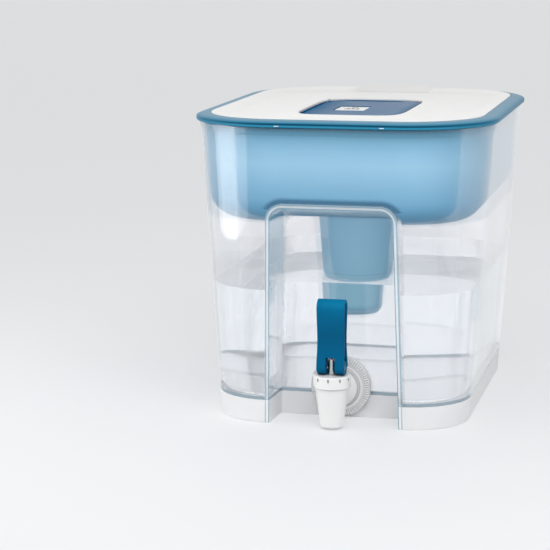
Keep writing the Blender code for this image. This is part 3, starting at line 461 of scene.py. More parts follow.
def filterCarbon(add):
    # activated carbon with white resin beads: grains of about 0.8 mm, one in four of them pale
    place = add("TexCoord").outputs["Object"]
    grains = add("TexVoronoi", Vector=place, Scale=1250.0).outputs
    chance = add("SeparateColor", Color=grains["Color"])
    pale = add("Math GREATER_THAN", chance, 0.75)
    tone = add("Mix RGBA", pale, linear("#262628"), linear("#D9D2BE"))
    bump = add("Bump", Height=grains["Distance"], Strength=0.8, Distance=0.0003, invert=True)
    shader = add("BsdfPrincipled", Base_Color=tone, Roughness=0.8, IOR=1.5, Normal=bump)
    return [shader]


def wovenMesh(add):
    # polyester mesh: a plain weave with a thread every 0.5 mm
    place = add("TexCoord").outputs["Object"]
    warp, weft = [add("TexWave", Vector=place, Scale=320.0, bands_direction=way).outputs["Fac"]
                  for way in ("X", "Y")]
    weave = add("Math MULTIPLY", warp, weft)
    tone = add("Mix RGBA", weave, linear("#C6CBCE"), linear("#EEF0F0"))
    bump = add("Bump", Height=weave, Strength=0.6, Distance=0.0001)
    shader = add("BsdfPrincipled", Base_Color=tone, Roughness=0.55, IOR=1.5, Normal=bump)
    return [shader]


def displayPanel(add):
    # a printed window: white, with a row of four plain dark bars
    place = add("TexCoord").outputs["Generated"]
    split = add("SeparateXYZ", Vector=place).outputs
    row = add("Math COMPARE", split["Y"], 0.52, 0.13)
    width = add("Math COMPARE", split["X"], 0.5, 0.26)
    bars = add("Math PINGPONG", split["X"], 0.075)
    solid = add("Math GREATER_THAN", bars, 0.018)
    inside = add("Math MULTIPLY", row, width)
    dark = add("Math MULTIPLY", inside, solid)
    tone = add("Mix RGBA", dark, linear("#F1F5F4"), linear("#2B3338"))
    shader = add("BsdfPrincipled", Base_Color=tone, Roughness=0.3, Specular_IOR_Level=0.1)
    return [shader]


def clearPlastic(add, colour, ior, through=1.0, depthColour=None, density=0.0):
    # a clear material with a slight ripple of about 30 mm and, if asked, a tint through its depth
    place = add("TexCoord").outputs["Object"]
    ripple = add("TexNoise", Vector=place, Scale=33.0, Detail=1.0)
    bump = add("Bump", Height=ripple, Strength=0.02, Distance=0.001)
    shader = add("BsdfPrincipled", Base_Color=linear(colour), Roughness=0.0, IOR=ior,
                 Transmission_Weight=through, Normal=bump)
    return [shader] + ([add("VolumeAbsorption", Color=depthColour, Density=density)] if density else [])


clearTank = newMaterial("clear SAN, polished", clearTankPlastic)
# rounded edges of the clear plastic, which bend the light most: painted blue-grey and partly opaque, a
# painted shade that shows them as thin lines
clearEdge = newMaterial("clear SAN, rounded edges", clearPlastic, "#7F9FB0", 1.5, 0.6)
blueFunnel = newMaterial("tinted SAN, translucent blue", blueFunnelPlastic)
# still tap water: hardly any tint
water = newMaterial("drinking water", clearPlastic, "#FFFFFF", 1.333, 1.0, (0.55, 0.75, 0.85, 1), 0.5)
whitePlastic = newMaterial("ABS, moulded satin white", mouldedPlastic, "#F0F0EF", "#EDEDEC", {
    "grain": 0.08, "ior": 1.53, "scatter": 0.03, "grooves": 0.85})
# colours by height paint light and shade on the strap: darkest at mid-height, lighter at the foot and
# lightest at the loop on top
leverBlue = newMaterial(
    "polypropylene, moulded deep blue", mouldedPlastic,
    [(38, "#006089"), (52, "#005A82"), (66, "#005078"), (80, "#006691"), (91, "#0684B0")], "#005C83",
    {"roughness": 0.45, "grain": 0.15, "ior": 1.49, "gloss": 0.06, "groove": "#003048"})
# colours by height paint shade on the flap: its lower border and scoop are darker; its gloss rising towards
# its right is a painted reflection
flapBlue = newMaterial(
    "ABS, polished deep blue", mouldedPlastic,
    [(211, "#002E52"), (212.2, "#003C66"), (212.42, "#005C8C"), (212.7, "#006294")], "#005C8A",
    {"roughness": 0.18, "grain": 0.02, "ior": 1.53, "gloss": 0.004, "groove": "#00304F",
     "shineLeft": -0.034, "shineRight": -0.006})
greySilicone = newMaterial("silicone, matt grey", mouldedPlastic, "#A9ADAF", "#A3A8AA",
                           {"roughness": 0.6, "ior": 1.41})
# a painted highlight: the pale pads set in the lip's small marks
lipHighlight = newMaterial("SAN, polished, painted pale highlight", mouldedPlastic, "#D4EFFC", "#C6E8F8",
                       {"roughness": 0.12, "grain": 0.02})
steel = newMaterial("stainless steel, turned", brushedSteel)
meshGrey = newMaterial("polyester mesh, plain weave", wovenMesh)
carbon = newMaterial("activated carbon and resin, grains", filterCarbon)
boardGreen = newMaterial("circuit board, lacquered", mouldedPlastic, "#1E5A38", "#174A2D", {"roughness": 0.4})
panel = newMaterial("display panel, printed", displayPanel)
# the sheet behind the gauge's printed window
window = newMaterial("PMMA, clear sheet", clearPlastic, "#FFFFFF", 1.49)
print("materials made")


# Tank, with the alcove that the tap stands in

tank = {
    "height": 209.2, "topWidth": 208.0, "topDepth": 270.0, "topRadius": 61.7,
    "baseWidth": 178.8, "baseDepth": 240.8, "baseRadius": 41.0,
    "wall": 2.4, "floor": 18.8, "floorThickness": 2.0, "fillet": 4.0, "baseEdge": 0.8,
    "beadHeight": 4.2, "beadOut": 1.2, "steps": 24, "edge": 0.8,
}
alcove = {
    "halfWidth": 43.0, "backHalfWidth": 41.0, "draft": 4.0, "top": 153.4, "corner": 9.0,
    "back": -90.5, "backRound": 13.5, "sideRound": 1.5, "steps": 12,
}
tap = {"y": -124.8, "level": 22.8, "shankRadius": 7.8}
sump = {"halfWidth": 17.2, "rear": -60.0, "floor": 6.2, "corner": 4.0}


def outline(z, inset, flatZ=None):
    # the tank's rounded outline at a height, moved in by inset
    share = min(max(z / tank["height"], 0), 1)
    halfX = mix(tank["baseWidth"], tank["topWidth"], share) / 2 - inset
    halfY = mix(tank["baseDepth"], tank["topDepth"], share) / 2 - inset
    radius = mix(tank["baseRadius"], tank["topRadius"], share) - inset
    level = z if flatZ is None else flatZ
    return [Vector((x, y, level)) for x, y in roundedOblong(halfX, halfY, radius, tank["steps"])]


def alcoveSolid(name, grow, rise):
    # the alcove's sides widen towards the floor, as the mould is drawn that way
    front = -tank["topDepth"] / 2
    roundStart = alcove["back"] - alcove["backRound"]
    spread = (alcove["halfWidth"] - alcove["backHalfWidth"]) / (roundStart - front)
    stations = [(front - beyond, alcove["halfWidth"] + spread * beyond, alcove["top"])]
    for sine, cosine in arc(alcove["steps"]):
        stations.append((roundStart + (alcove["backRound"] + grow) * sine,
                         alcove["backHalfWidth"] - alcove["sideRound"] * (1 - cosine),
                         alcove["top"] - alcove["backRound"] * (1 - cosine)))
    radius = alcove["corner"] + grow
    rings = []
    for y, halfWidth, top in stations:
        foot = halfWidth + grow + alcove["draft"]
        around = roundedOblong(halfWidth + grow, top + rise, radius, alcove["steps"])
        upper = around[:len(around) // 2]
        rings.append([Vector((x, y, z)) for x, z in [(foot, -beyond), *upper, (-foot, -beyond)]])
    return skin(name, rings)


def sumpSolid(name, grow):
    halfWidth = sump["halfWidth"] + grow
    return brick(name, (-halfWidth, alcove["back"], sump["floor"] - grow),
                 (halfWidth, sump["rear"] + grow, tank["floor"] + tank["fillet"]), sump["corner"])


def tankInside(name, wall, top, extra=0.0):
    # the hollow of the tank, up to a height
    fillet = tank["fillet"]
    rings = [outline(tank["floor"] - extra + fillet * (1 - cosine), wall + fillet * (1 - sine))
             for sine, cosine in arc()]
    rings.append(outline(top, wall))
    if top >= tank["height"]:
        rings.append(outline(top, wall, top + beyond))
    hollow = skin(name, rings)
    combine(hollow, "UNION", sumpSolid("sump", extra))
    return combine(hollow, "DIFFERENCE", alcoveSolid("alcove wall", wall, wall))


def makeTank():
    edge, wall, beadOut = tank["baseEdge"], tank["wall"], tank["beadOut"]
    bead = tank["height"] - tank["beadHeight"]
    rings = [outline(edge * (1 - cosine), edge * (1 - sine)) for sine, cosine in arc(3)]
    rings += [outline(bead - beadOut, 0), outline(bead, -beadOut)]
    rings += [outline(tank["height"] - edge * (1 - sine), -beadOut + edge * (1 - cosine))
              for sine, cosine in arc(3)]
    body = skin("clearTank", rings)
    under = skin("under", [outline(0, wall, -beyond), outline(tank["floor"] - tank["floorThickness"], wall)])
    combine(under, "DIFFERENCE", sumpSolid("sump wall", tank["floorThickness"]),
            alcoveSolid("alcove skirt", wall, wall))
    inside = tankInside("inside", wall, tank["height"])
    hole = rod("hole", tap["shankRadius"] + clearance, (0, alcove["back"] - beyond, tap["level"]),
               (0, alcove["back"] + wall + beyond, tap["level"]))
    combine(body, "DIFFERENCE", alcoveSolid("alcove", 0, 0), inside, under, hole)
    body.data.materials.append(clearTank)
    body.data.materials.append(clearEdge)
    soften(body, tank["edge"], 3, edgeSlot=1)
    finishPiece(body, None, "tank_body", "tank")


makeTank()


# Funnel, the blue tub hung in the tank by its rim

funnel = {
    "rimOut": 3.0, "rimHeight": 2.5, "rimCrown": 2.2, "rimBand": 10.0, "rimEdge": 0.5,
    "ledgeWidth": 2.6, "ledgeThickness": 1.4, "ledgeDrop": 2.4,
    "gap": 1.0, "wall": 2.2, "bottom": 142.0, "fillet": 16.5, "steps": 12, "edge": 0.35,
    "archGap": 2.4, "archRise": 3.6,
    "markX": 36.0, "markHalf": 1.8, "markHeight": 1.0, "markDepth": 0.6, "padGap": 0.1, "padEdge": 0.15,
}
cup = {
    "y": -32.0, "topRadius": 28.7, "bottomRadius": 23.0, "bottom": 67.5, "wall": 1.8, "edge": 6.0,
    "outletRadius": 2.0, "outletRing": 0.55, "outlets": 6, "outletTurn": 0.3,
}
rimBottom = tank["height"] + clearance
rimSideTop = rimBottom + funnel["rimHeight"]
rimTop = rimSideTop + funnel["rimCrown"]
tubInset = tank["wall"] + funnel["gap"]
rimInner = funnel["rimBand"] - funnel["rimOut"]
ledgeTop = rimTop - funnel["ledgeDrop"]
ledgeInset = rimInner + funnel["ledgeWidth"]


def cupRadius(z):
    share = (z - cup["bottom"]) / (funnel["bottom"] - cup["bottom"])
    return mix(cup["bottomRadius"], cup["topRadius"], share)


def cupProfile(inset, floor, top):
    edge = cup["edge"] - inset
    low = cupRadius(floor + edge) - inset
    corner = [(low - edge * (1 - sine), floor + edge * (1 - cosine)) for sine, cosine in arc()]
    return [(0, floor), *corner, (cupRadius(top) - inset, top), (0, top)]


def tubRings(inset, bottom, fillet):
    return [outline(bottom + fillet * (1 - cosine), inset + fillet * (1 - sine))
            for sine, cosine in arc(funnel["steps"])]


def cutMark(tub, name, middle):
    # a small mark in the front lip, with a pale pad that is a painted highlight
    front = -tank["topDepth"] / 2 - funnel["rimOut"]
    bottom = rimBottom + funnel["rimEdge"]
    half, rear, top = funnel["markHalf"], front + funnel["markDepth"], bottom + funnel["markHeight"]
    gap = funnel["padGap"]
    mark = brick("mark", (middle - half, front - beyond, bottom), (middle + half, rear, top))
    combine(tub, "DIFFERENCE", mark)
    pad = brick(name, (middle - half + gap, front + funnel["padEdge"], bottom + gap),
                (middle + half - gap, rear, top - gap))
    soften(pad, funnel["padEdge"])
    finishPiece(pad, lipHighlight, "funnel_body")


def makeFunnel():
    top, rimOut = tank["height"], funnel["rimOut"]
    rings = tubRings(tubInset, funnel["bottom"], funnel["fillet"])
    rings += [outline(top, tubInset), outline(top, tubInset, rimBottom),
              outline(top, funnel["rimEdge"] - rimOut, rimBottom),
              outline(top, -rimOut, rimBottom + funnel["rimEdge"])]
    for sine, cosine in arc():
        across = -rimOut + (funnel["rimBand"] - funnel["rimEdge"]) * (1 - cosine)
        rings.append(outline(top, across, rimSideTop + funnel["rimCrown"] * sine))
    tub = skin("blueFunnel", rings)

    wall = funnel["wall"]
    inner, floor = tubInset + wall, funnel["bottom"] + wall
    shoulder = ledgeTop - funnel["ledgeThickness"]
    rings = tubRings(inner, floor, funnel["fillet"] - wall)
    rings += [outline(shoulder - (ledgeInset - inner), inner), outline(top, ledgeInset, shoulder),
              outline(top, ledgeInset, ledgeTop), outline(top, rimInner, ledgeTop),
              outline(top, rimInner, rimTop + beyond)]
    inside = skin("inside", rings)
    near, rise = tank["wall"] + funnel["archGap"], funnel["archRise"]
    combine(inside, "DIFFERENCE", alcoveSolid("arch wall", near + wall, rise + wall))
    combine(tub, "DIFFERENCE", alcoveSolid("arch", near, rise), inside)
    cutMark(tub, "lipMarkLeft", -funnel["markX"])
    cutMark(tub, "lipMarkRight", funnel["markX"])

    here = (0, cup["y"], 0)
    combine(tub, "UNION", spin("cup", cupProfile(0, cup["bottom"], floor - wall / 2), here))
    bore = cupProfile(cup["wall"], cup["bottom"] + cup["wall"], floor + beyond)
    cutters = [spin("cup bore", bore, here)]
    ring = cup["bottomRadius"] * cup["outletRing"]
    for i in range(cup["outlets"]):
        angle = 2 * pi * (i + cup["outletTurn"]) / cup["outlets"]
        x, y = ring * cos(angle), cup["y"] + ring * sin(angle)
        cutters.append(rod("outlet", cup["outletRadius"], (x, y, cup["bottom"] - beyond),
                           (x, y, cup["bottom"] + cup["edge"]), 24))
    combine(tub, "DIFFERENCE", *cutters)
    soften(tub, funnel["edge"])
    finishPiece(tub, blueFunnel, "funnel_body", "funnel")


makeFunnel()


# Water, up to its level in the photo

waterSettings = {"level": 95.5, "overlap": 0.06}


def makeWater():
    # it reaches a hair into the plastic that holds it, so that no film of air is seen
    overlap = waterSettings["overlap"]
    body = tankInside("water", tank["wall"] - overlap, waterSettings["level"], overlap)
    around = cupProfile(overlap, cup["bottom"] + overlap, funnel["bottom"])
    combine(body, "DIFFERENCE", spin("cup", around, (0, cup["y"], 0)))
    shadeSmooth(body)
    finishPiece(body, water, "tank_body")


makeWater()


# Lid with its flap

lid = {
    "gap": 0.4, "side": 1.8, "edge": 0.9, "rimWidth": 3.5, "dishWidth": 13.0, "dish": 2.5, "thickness": 2.2,
    "skirtInset": 3.2, "skirtWidth": 2.0, "skirtDepth": 6.0, "rounding": 0.25,
    "gripWidth": 66.0, "gripTopWidth": 54.0, "gripHeight": 1.8, "gripLength": 16.0, "gripFoot": 0.3,
}
flap = {
    "halfWidth": 37.5, "halfLength": 62.5, "y": -19.0, "power": 5.5, "gap": 0.5, "thickness": 1.4,
    "border": 4.0, "fall": 0.8, "fallPower": 1.3, "slope": 6.0, "chamfer": 0.3, "rounding": 0.15,
    "centreDip": 0.12, "dishWidth": 14.0, "dish": 0.6, "ledge": 5.0, "hingeBack": 11.0,
    "trunnion": 1.1, "trunnionFit": 0.3, "trunnionLength": 2.2,
    "surround": 15.0, "surroundRise": 1.2, "frameWidth": 4.0, "frameDepth": 2.8, "frameEdge": 0.15,
    "scoopHalfWidth": 23.0, "scoopLength": 10.0, "scoopDepth": 1.1, "relief": 17.5,
    "notchWidth": 1.3, "notchClear": 0.9,
}
gauge = {"x": -6.0, "y": -25.0, "halfWidth": 11.0, "halfLength": 15.5}
lidInset = rimInner + lid["gap"]
lidSeat = ledgeTop + clearance
lidTop = lidSeat + lid["side"] + lid["edge"]
dishZ = lidTop - lid["dish"]
lidUnder = dishZ - lid["thickness"]
flapUnder = dishZ - flap["thickness"] - flap["dish"] / 2
flapTop = flapUnder + flap["thickness"] + flap["dish"]
flapLedgeZ = flapUnder - clearance
hingeY = flap["y"] + flap["halfLength"] - flap["hingeBack"]
hingeZ = flapUnder + flap["chamfer"]
hingeShare = 1 - flap["hingeBack"] / flap["halfLength"]
hingeHalfSpan = flap["halfWidth"] * (1 - hingeShare ** flap["power"]) ** (1 / flap["power"])


def flapOutline(z, grow):
    # a superellipse, moved out by grow
    points = []
    count = 4 * (tank["steps"] + 1)
    for i in range(count):
        angle = 2 * pi * (i + 0.5) / count
        x, y = [copysign(abs(part) ** (2 / flap["power"]), part) for part in (cos(angle), sin(angle))]
        points.append(Vector(((flap["halfWidth"] + grow) * x,
                              flap["y"] + (flap["halfLength"] + grow) * y, z)))
    return points


def lidOutline(z, inset):
    return outline(tank["height"], lidInset + inset, z)


def gripSolid():
    # a wedge at the rear edge, whose front end runs out into the dish
    back = tank["topDepth"] / 2 - lidInset - lid["edge"]
    foot, base, top = lid["gripFoot"], lid["gripWidth"] / 2, lid["gripTopWidth"] / 2
    rear = (lidSeat + foot, lidTop - lid["dish"] / 2, lidTop + lid["gripHeight"])
    front = (dishZ - lid["thickness"] / 2, dishZ - foot, dishZ + foot)
    ends = []
    for y, (low, shoulder, high) in ((back, rear), (back - lid["gripLength"], front)):
        section = ((-base, low), (base, low), (base, shoulder), (top, high), (-top, high), (-base, shoulder))
        ends.append([Vector((x, y, z)) for x, z in section])
    return skin("grip", ends)


def makeLid():
    crown = dishZ + flap["surroundRise"]
    skirtBottom = lidSeat - lid["skirtDepth"]
    skirtInner = lid["skirtInset"] + lid["skirtWidth"]
    frameBottom = flapLedgeZ - flap["frameDepth"]
    frame, edge, shoulder = flap["frameWidth"], lid["edge"], lidTop - lid["edge"] / 4
    rings = [lidOutline(lidSeat, 0), lidOutline(lidSeat + lid["side"], 0)]
    rings += [lidOutline(lidSeat + lid["side"] + edge * sine, edge * (1 - cosine))
              for sine, cosine in arc(4, 1)]
    rings.append(lidOutline(shoulder, lid["rimWidth"]))
    for share in (0.25, 0.5, 0.75, 1.0):
        rings.append(lidOutline(mix(shoulder, dishZ, ease(share)),
                                mix(lid["rimWidth"], lid["dishWidth"], share)))
    for step in range(7):
        rings.append(flapOutline(mix(dishZ, crown, ease(step / 6)),
                                 mix(flap["surround"], flap["surround"] / 2, step / 6)))
    rings += [
        flapOutline(crown, frame / 2), flapOutline(crown - flap["frameEdge"], frame / 4),
        flapOutline(flapTop, flap["gap"]), flapOutline(flapLedgeZ, flap["gap"]),
        flapOutline(flapLedgeZ, -flap["ledge"]), flapOutline(frameBottom, -flap["ledge"]),
        flapOutline(frameBottom, frame), flapOutline(lidUnder, 2 * frame),
        lidOutline(lidUnder, lid["dishWidth"]), lidOutline(lidSeat - edge, skirtInner),
        lidOutline(skirtBottom, skirtInner), lidOutline(skirtBottom, lid["skirtInset"]),
        lidOutline(lidSeat, lid["skirtInset"]),
    ]
    shell = skin("whiteLid", rings, closed=True)
    combine(shell, "UNION", gripSolid())

    # room behind the hinge for the flap's rear end, sockets for its trunnions and notches over them
    reliefStart = hingeY + flap["hingeBack"] - flap["relief"]
    behind = [point for point in flapOutline(0, flap["gap"] + flap["frameEdge"]) if point.y > reliefStart]
    relief = skin("relief", [[Vector((p.x, p.y, z)) for p in behind]
                             for z in (frameBottom - beyond, flapLedgeZ + clearance)])
    reach = flap["halfWidth"] + flap["trunnionLength"] + clearance
    socket = rod("socket", flap["trunnion"] + flap["trunnionFit"],
                 (-reach, hingeY, hingeZ), (reach, hingeY, hingeZ))
    notch = hingeHalfSpan + flap["notchWidth"]
    notchRear = hingeY + flapTop - hingeZ + flap["notchClear"]
    notchBrick = brick("notch", (-notch, hingeY, flapLedgeZ + flap["frameEdge"]),
                       (notch, notchRear, crown + beyond))
    combine(shell, "DIFFERENCE", relief, socket, notchBrick)
    soften(shell, lid["rounding"])
    finishPiece(shell, whitePlastic, "lid_body", "lid")


def makeFlap():
    chamfer, fall, slope = flap["chamfer"], flap["fall"], flap["slope"]
    rings = [flapOutline(flapUnder, -chamfer), flapOutline(flapUnder + chamfer, 0),
             flapOutline(flapTop - fall, 0)]
    for step in range(1, 9):
        share = step / 8
        rings.append(flapOutline(flapTop - fall * (1 - share) ** flap["fallPower"], -slope * share))
    for share in (0.25, 0.5, 0.75, 1.0):
        rings.append(flapOutline(mix(flapTop, flapTop - flap["centreDip"], ease(share)),
                                 -mix(slope, flap["dishWidth"], share)))
    plate = skin("blueFlap", rings)
    inner, outer = hingeHalfSpan - 3 * flap["trunnionLength"], hingeHalfSpan + flap["trunnionLength"]
    for side in (-1, 1):
        combine(plate, "UNION", rod("trunnion", flap["trunnion"], (side * inner, hingeY, hingeZ),
                                    (side * outer, hingeY, hingeZ)))
    scoop = bmesh.new()
    bmesh.ops.create_uvsphere(scoop, u_segments=48, v_segments=24, radius=1)
    half = flap["scoopLength"] / 2
    middle = Matrix.Translation((0, flap["y"] + flap["halfLength"] - flap["border"] - half, flapTop))
    bmesh.ops.transform(scoop, verts=scoop.verts, matrix=middle @ Matrix.Diagonal(
        (flap["scoopHalfWidth"], half, flap["scoopDepth"], 1)))
    halfX, halfY = gauge["halfWidth"] + clearance, gauge["halfLength"] + clearance
    opening = brick("opening", (gauge["x"] - halfX, gauge["y"] - halfY, flapUnder - beyond),
                    (gauge["x"] + halfX, gauge["y"] + halfY, flapTop + beyond))
    combine(plate, "DIFFERENCE", toObject("scoop", scoop), opening)
    soften(plate, flap["rounding"])
    finishPiece(plate, flapBlue, "flap_body", "flap")


makeLid()
makeFlap()


# Tap: barrel with its shank, bonnet and ribbed collar

barrel = {
    "bottom": 1.2, "bottomRadius": 7.8, "topRadius": 11.7, "length": 28.0, "edge": 0.8, "spout": 5.4,
    "seatHeight": 12.5, "seatRadius": 4.0, "chamberFloor": 14.0, "chamberRadius": 8.8, "chamberEdge": 1.5,
    "neckRadius": 9.8, "neckHeight": 4.8, "shankNeck": 6.2, "shankBore": 4.6, "shankStart": 1.0,
    "boreStart": 2.0, "shankInside": 20.5, "flare": 1.2, "flareShare": 0.45, "footShare": 0.3,
    "flangeRadius": 12.8, "flangeThickness": 3.2, "rounding": 0.15,
}
bonnet = {
    "radius": 13.1, "height": 8.8, "edge": 1.2, "top": 2.0, "stemBore": 3.5, "rounding": 0.15,
    "notches": 10, "notchWidth": 1.3, "notchHeight": 2.3, "notchDepth": 0.9,
}
collar = {
    "radius": 21.4, "thickness": 6.6, "band": 4.0, "slope": 1.8, "groove": 0.9, "ribs": 72, "ribDepth": 0.6,
    "scoreIn": 2.4, "scoreHalf": 0.6, "scoreDepth": 0.5, "gasketRadius": 12.5, "gasketThickness": 1.6,
}
barrelTop = barrel["bottom"] + barrel["length"]
bonnetBottom = barrelTop + clearance
bonnetTop = bonnetBottom + bonnet["height"]
shankEnd = alcove["back"] + barrel["shankInside"]
collarBack = alcove["back"] - clearance
collarFront = collarBack - collar["thickness"]
tapPlace = (0, tap["y"], 0)


def makeTapBody():
    neckTop = barrelTop + barrel["neckHeight"]
    edge, bottom, foot = barrel["edge"], barrel["bottom"], barrel["bottomRadius"]
    wide, neck, cut = barrel["topRadius"], barrel["neckRadius"], edge * barrel["footShare"]
    body = spin("whiteTapBody", [
        (0, bottom), (foot - edge, bottom), (foot - cut, bottom + cut), (foot, bottom + edge),
        (wide, barrelTop - edge), (wide, barrelTop), (neck, barrelTop), (neck, neckTop), (0, neckTop)],
        tapPlace)
    stem, flange, thick = barrel["shankNeck"], barrel["flangeRadius"], barrel["flangeThickness"]
    front = collarFront - clearance - thick
    start, shankRadius = tap["y"] + barrel["shankStart"], tap["shankRadius"]
    shank = [(0, start), (stem, start), (stem, front - thick),
             (stem + barrel["flare"], front - thick * barrel["flareShare"]), (flange - thick / 2, front),
             (flange - thick / 6, front + thick / 6), (flange, front + thick / 2), (flange, front + thick),
             (shankRadius, front + thick), (shankRadius, shankEnd - edge),
             (shankRadius - edge, shankEnd), (0, shankEnd)]
    combine(body, "UNION", spin("shank", [(r, -y) for r, y in shank], (0, 0, tap["level"]), lying=True))
    combine(body, "DIFFERENCE", rod(
        "shank bore", barrel["shankBore"], (0, tap["y"] + barrel["boreStart"], tap["level"]),
        (0, shankEnd + beyond, tap["level"])))
    spout, seat, seatZ = barrel["spout"], barrel["seatRadius"], barrel["seatHeight"]
    chamber, floor, corner = barrel["chamberRadius"], barrel["chamberFloor"], barrel["chamberEdge"]
    combine(body, "DIFFERENCE", spin("bore", [
        (0, bottom - beyond), (spout, bottom - beyond), (spout, seatZ - seat / 2), (seat, seatZ),
        (seat, floor - clearance), (chamber - corner, floor), (chamber, floor + corner),
        (chamber, neckTop + beyond), (0, neckTop + beyond)], tapPlace))
    soften(body, barrel["rounding"])
    finishPiece(body, whitePlastic, "tank_body", "tap_body")


def makeBonnet():
    bore, edge, radius = bonnet["stemBore"], bonnet["edge"], bonnet["radius"]
    inner, ceiling = barrel["neckRadius"] + clearance, bonnetTop - bonnet["top"]
    profile = [(inner, bonnetBottom), (radius - edge / 2, bonnetBottom), (radius, bonnetBottom + edge / 2)]
    profile += [(radius - edge * (1 - cosine), bonnetTop - edge * (1 - sine)) for sine, cosine in arc(4)]
    profile += [(bore, bonnetTop), (bore, ceiling), (inner, ceiling)]
    cap = spin("whiteBonnet", profile, tapPlace)
    cutters = []
    middle = Matrix.Translation((radius, 0, bonnetTop - edge - bonnet["notchHeight"] / 2))
    size = Matrix.Diagonal((2 * bonnet["notchDepth"], bonnet["notchWidth"], bonnet["notchHeight"], 1))
    for i in range(bonnet["notches"]):
        shape = bmesh.new()
        turn = Matrix.Rotation(2 * pi * i / bonnet["notches"] - quarter, 4, "Z")
        bmesh.ops.create_cube(shape, size=1, matrix=Matrix.Translation(tapPlace) @ turn @ middle @ size)
        cutters.append(toObject("notch", shape))
    combine(cap, "DIFFERENCE", *cutters)
    soften(cap, bonnet["rounding"])
    finishPiece(cap, whitePlastic, "tank_body", "tap_bonnet")


def makeCollar():
    radius, groove, slope = collar["radius"], collar["groove"], collar["slope"]
    band = radius - collar["band"]
    step = band - groove
    recess = collar["gasketRadius"] + clearance
    seat = collarBack - collar["gasketThickness"] - clearance
    bore = tap["shankRadius"] + clearance
    # a fine line is scored round the flat face
    score, half = collar["scoreIn"], collar["scoreHalf"]
    face = [(bore, seat), (bore, collarFront), (step - (score + half), collarFront),
            (step - score, collarFront + collar["scoreDepth"]), (step - (score - half), collarFront),
            (step, collarFront), (step, collarFront + groove), (band, collarFront + groove)]
    back = [(radius, collarFront + 2 * slope), (radius, collarBack), (recess, collarBack), (recess, seat)]
    rings = []
    for i in range(3 * collar["ribs"]):
        # every third section dips, which makes the ribs
        angle = 2 * pi * i / (3 * collar["ribs"])
        dip = collar["ribDepth"] if i % 3 == 0 else 0
        ribs = [(band, collarFront + slope / 2 + dip), (radius - groove / 2, collarFront + slope + dip)]
        around = Vector((cos(angle), 0, sin(angle)))
        rings.append([around * r + Vector((0, y, tap["level"])) for r, y in face + ribs + back])
    ring = skin("whiteCollar", rings, closed=True)
    soften(ring, 0, angle=30)
    finishPiece(ring, whitePlastic, "tank_body", "tap_collar")


makeTapBody()
makeBonnet()
makeCollar()


# Lever, a hairpin strap on a forked heel

lever = {
    "halfWidth": 9.8, "waist": 9.5, "length": 48.3, "strap": 2.2, "edge": 0.5, "loop": 6.5, "rounding": 0.2,
    "waistDepth": 3.4, "footDepth": 6.2, "waistShare": 0.42, "steps": 24, "camSteps": 16,
    "notchHalf": 3.3, "notchHeight": 8.1, "cheek": 4.8, "heel": 4.1, "heelRear": 5.8,
    "lift": 2.05, "range": radians(80), "pin": 1.3, "pinReach": 20,
}
pivotZ = bonnetTop + clearance + lever["heel"]


def strapPath():
    # (depth, height) along the strap's middle: up the front, over the loop and down the rear
    middle, steps = lever["loop"] - lever["strap"] / 2, lever["steps"]
    arcZ = lever["length"] - lever["loop"]
    waistZ = arcZ * lever["waistShare"]
    front = []
    for step in range(steps + 1):
        z = arcZ * step / steps
        if z < waistZ:
            depth = mix(lever["footDepth"], lever["waistDepth"], ease(z / waistZ))
        else:
            depth = mix(lever["waistDepth"], middle, ease((z - waistZ) / (arcZ - waistZ)))
        front.append((-depth, z))
    loop = [(-middle * cos(pi * s / steps), arcZ + middle * sin(pi * s / steps)) for s in range(1, steps)]
    return front + loop + [(-y, z) for y, z in reversed(front)]


def camSection():
    # the heel's side view: its front is the curve that lifts the stem evenly as the lever tips
    heel, lift, strap = lever["heel"], lever["lift"], lever["strap"]
    waist, foot = lever["waistDepth"], lever["footDepth"]
    cam = []
    for step in range(lever["camSteps"] + 1):
        tilt = lever["range"] * step / lever["camSteps"]
        reach = heel + lift * tilt
        cam.append((-(reach * sin(tilt) + lift * cos(tilt)), lift * sin(tilt) - reach * cos(tilt)))
    return cam + [(cam[-1][0], strap), (-waist, lever["cheek"]), (waist, lever["cheek"]),
                  (foot, strap), (foot, -heel / 2), (lever["heelRear"] - strap, -heel)]


def makeLever():
    path = strapPath()
    top = max(z for _, z in path)
    rings = []
    for i, (y, z) in enumerate(path):
        before, after = path[max(i - 1, 0)], path[min(i + 1, len(path) - 1)]
        along = Vector((0, after[0] - before[0], after[1] - before[1])).normalized()
        across = Vector((0, -along.z, along.y))
        half = mix(lever["halfWidth"], lever["waist"], sin(pi * min(max(z / top, 0), 1)))
        rings.append([Vector((x, tap["y"] + y, pivotZ + z)) + across * t
                      for x, t in roundedOblong(half, lever["strap"] / 2, lever["edge"], 3)])
    strap = skin("blueLever", rings)
    cam = camSection()
    for side in (-1, 1):
        ends = (side * lever["notchHalf"] / 2, side * (lever["halfWidth"] - lever["edge"]))
        combine(strap, "UNION", skin("cheek", [
            [Vector((x, tap["y"] + y, pivotZ + z)) for y, z in cam] for x in ends]))
    half, depth, reach = lever["notchHalf"], lever["loop"] + beyond, lever["pinReach"]
    slot = brick("slot", (-half, tap["y"] - depth, pivotZ - lever["heel"] - beyond),
                 (half, tap["y"] + depth, pivotZ + lever["notchHeight"]))
    pinHole = rod("pin hole", lever["pin"] + clearance, (-reach, tap["y"], pivotZ), (reach, tap["y"], pivotZ))
    combine(strap, "DIFFERENCE", slot, pinHole)
    soften(strap, lever["rounding"])
    finishPiece(strap, leverBlue, "lever_body", "lever")


makeLever()


# The frame's own solids that keep their shape

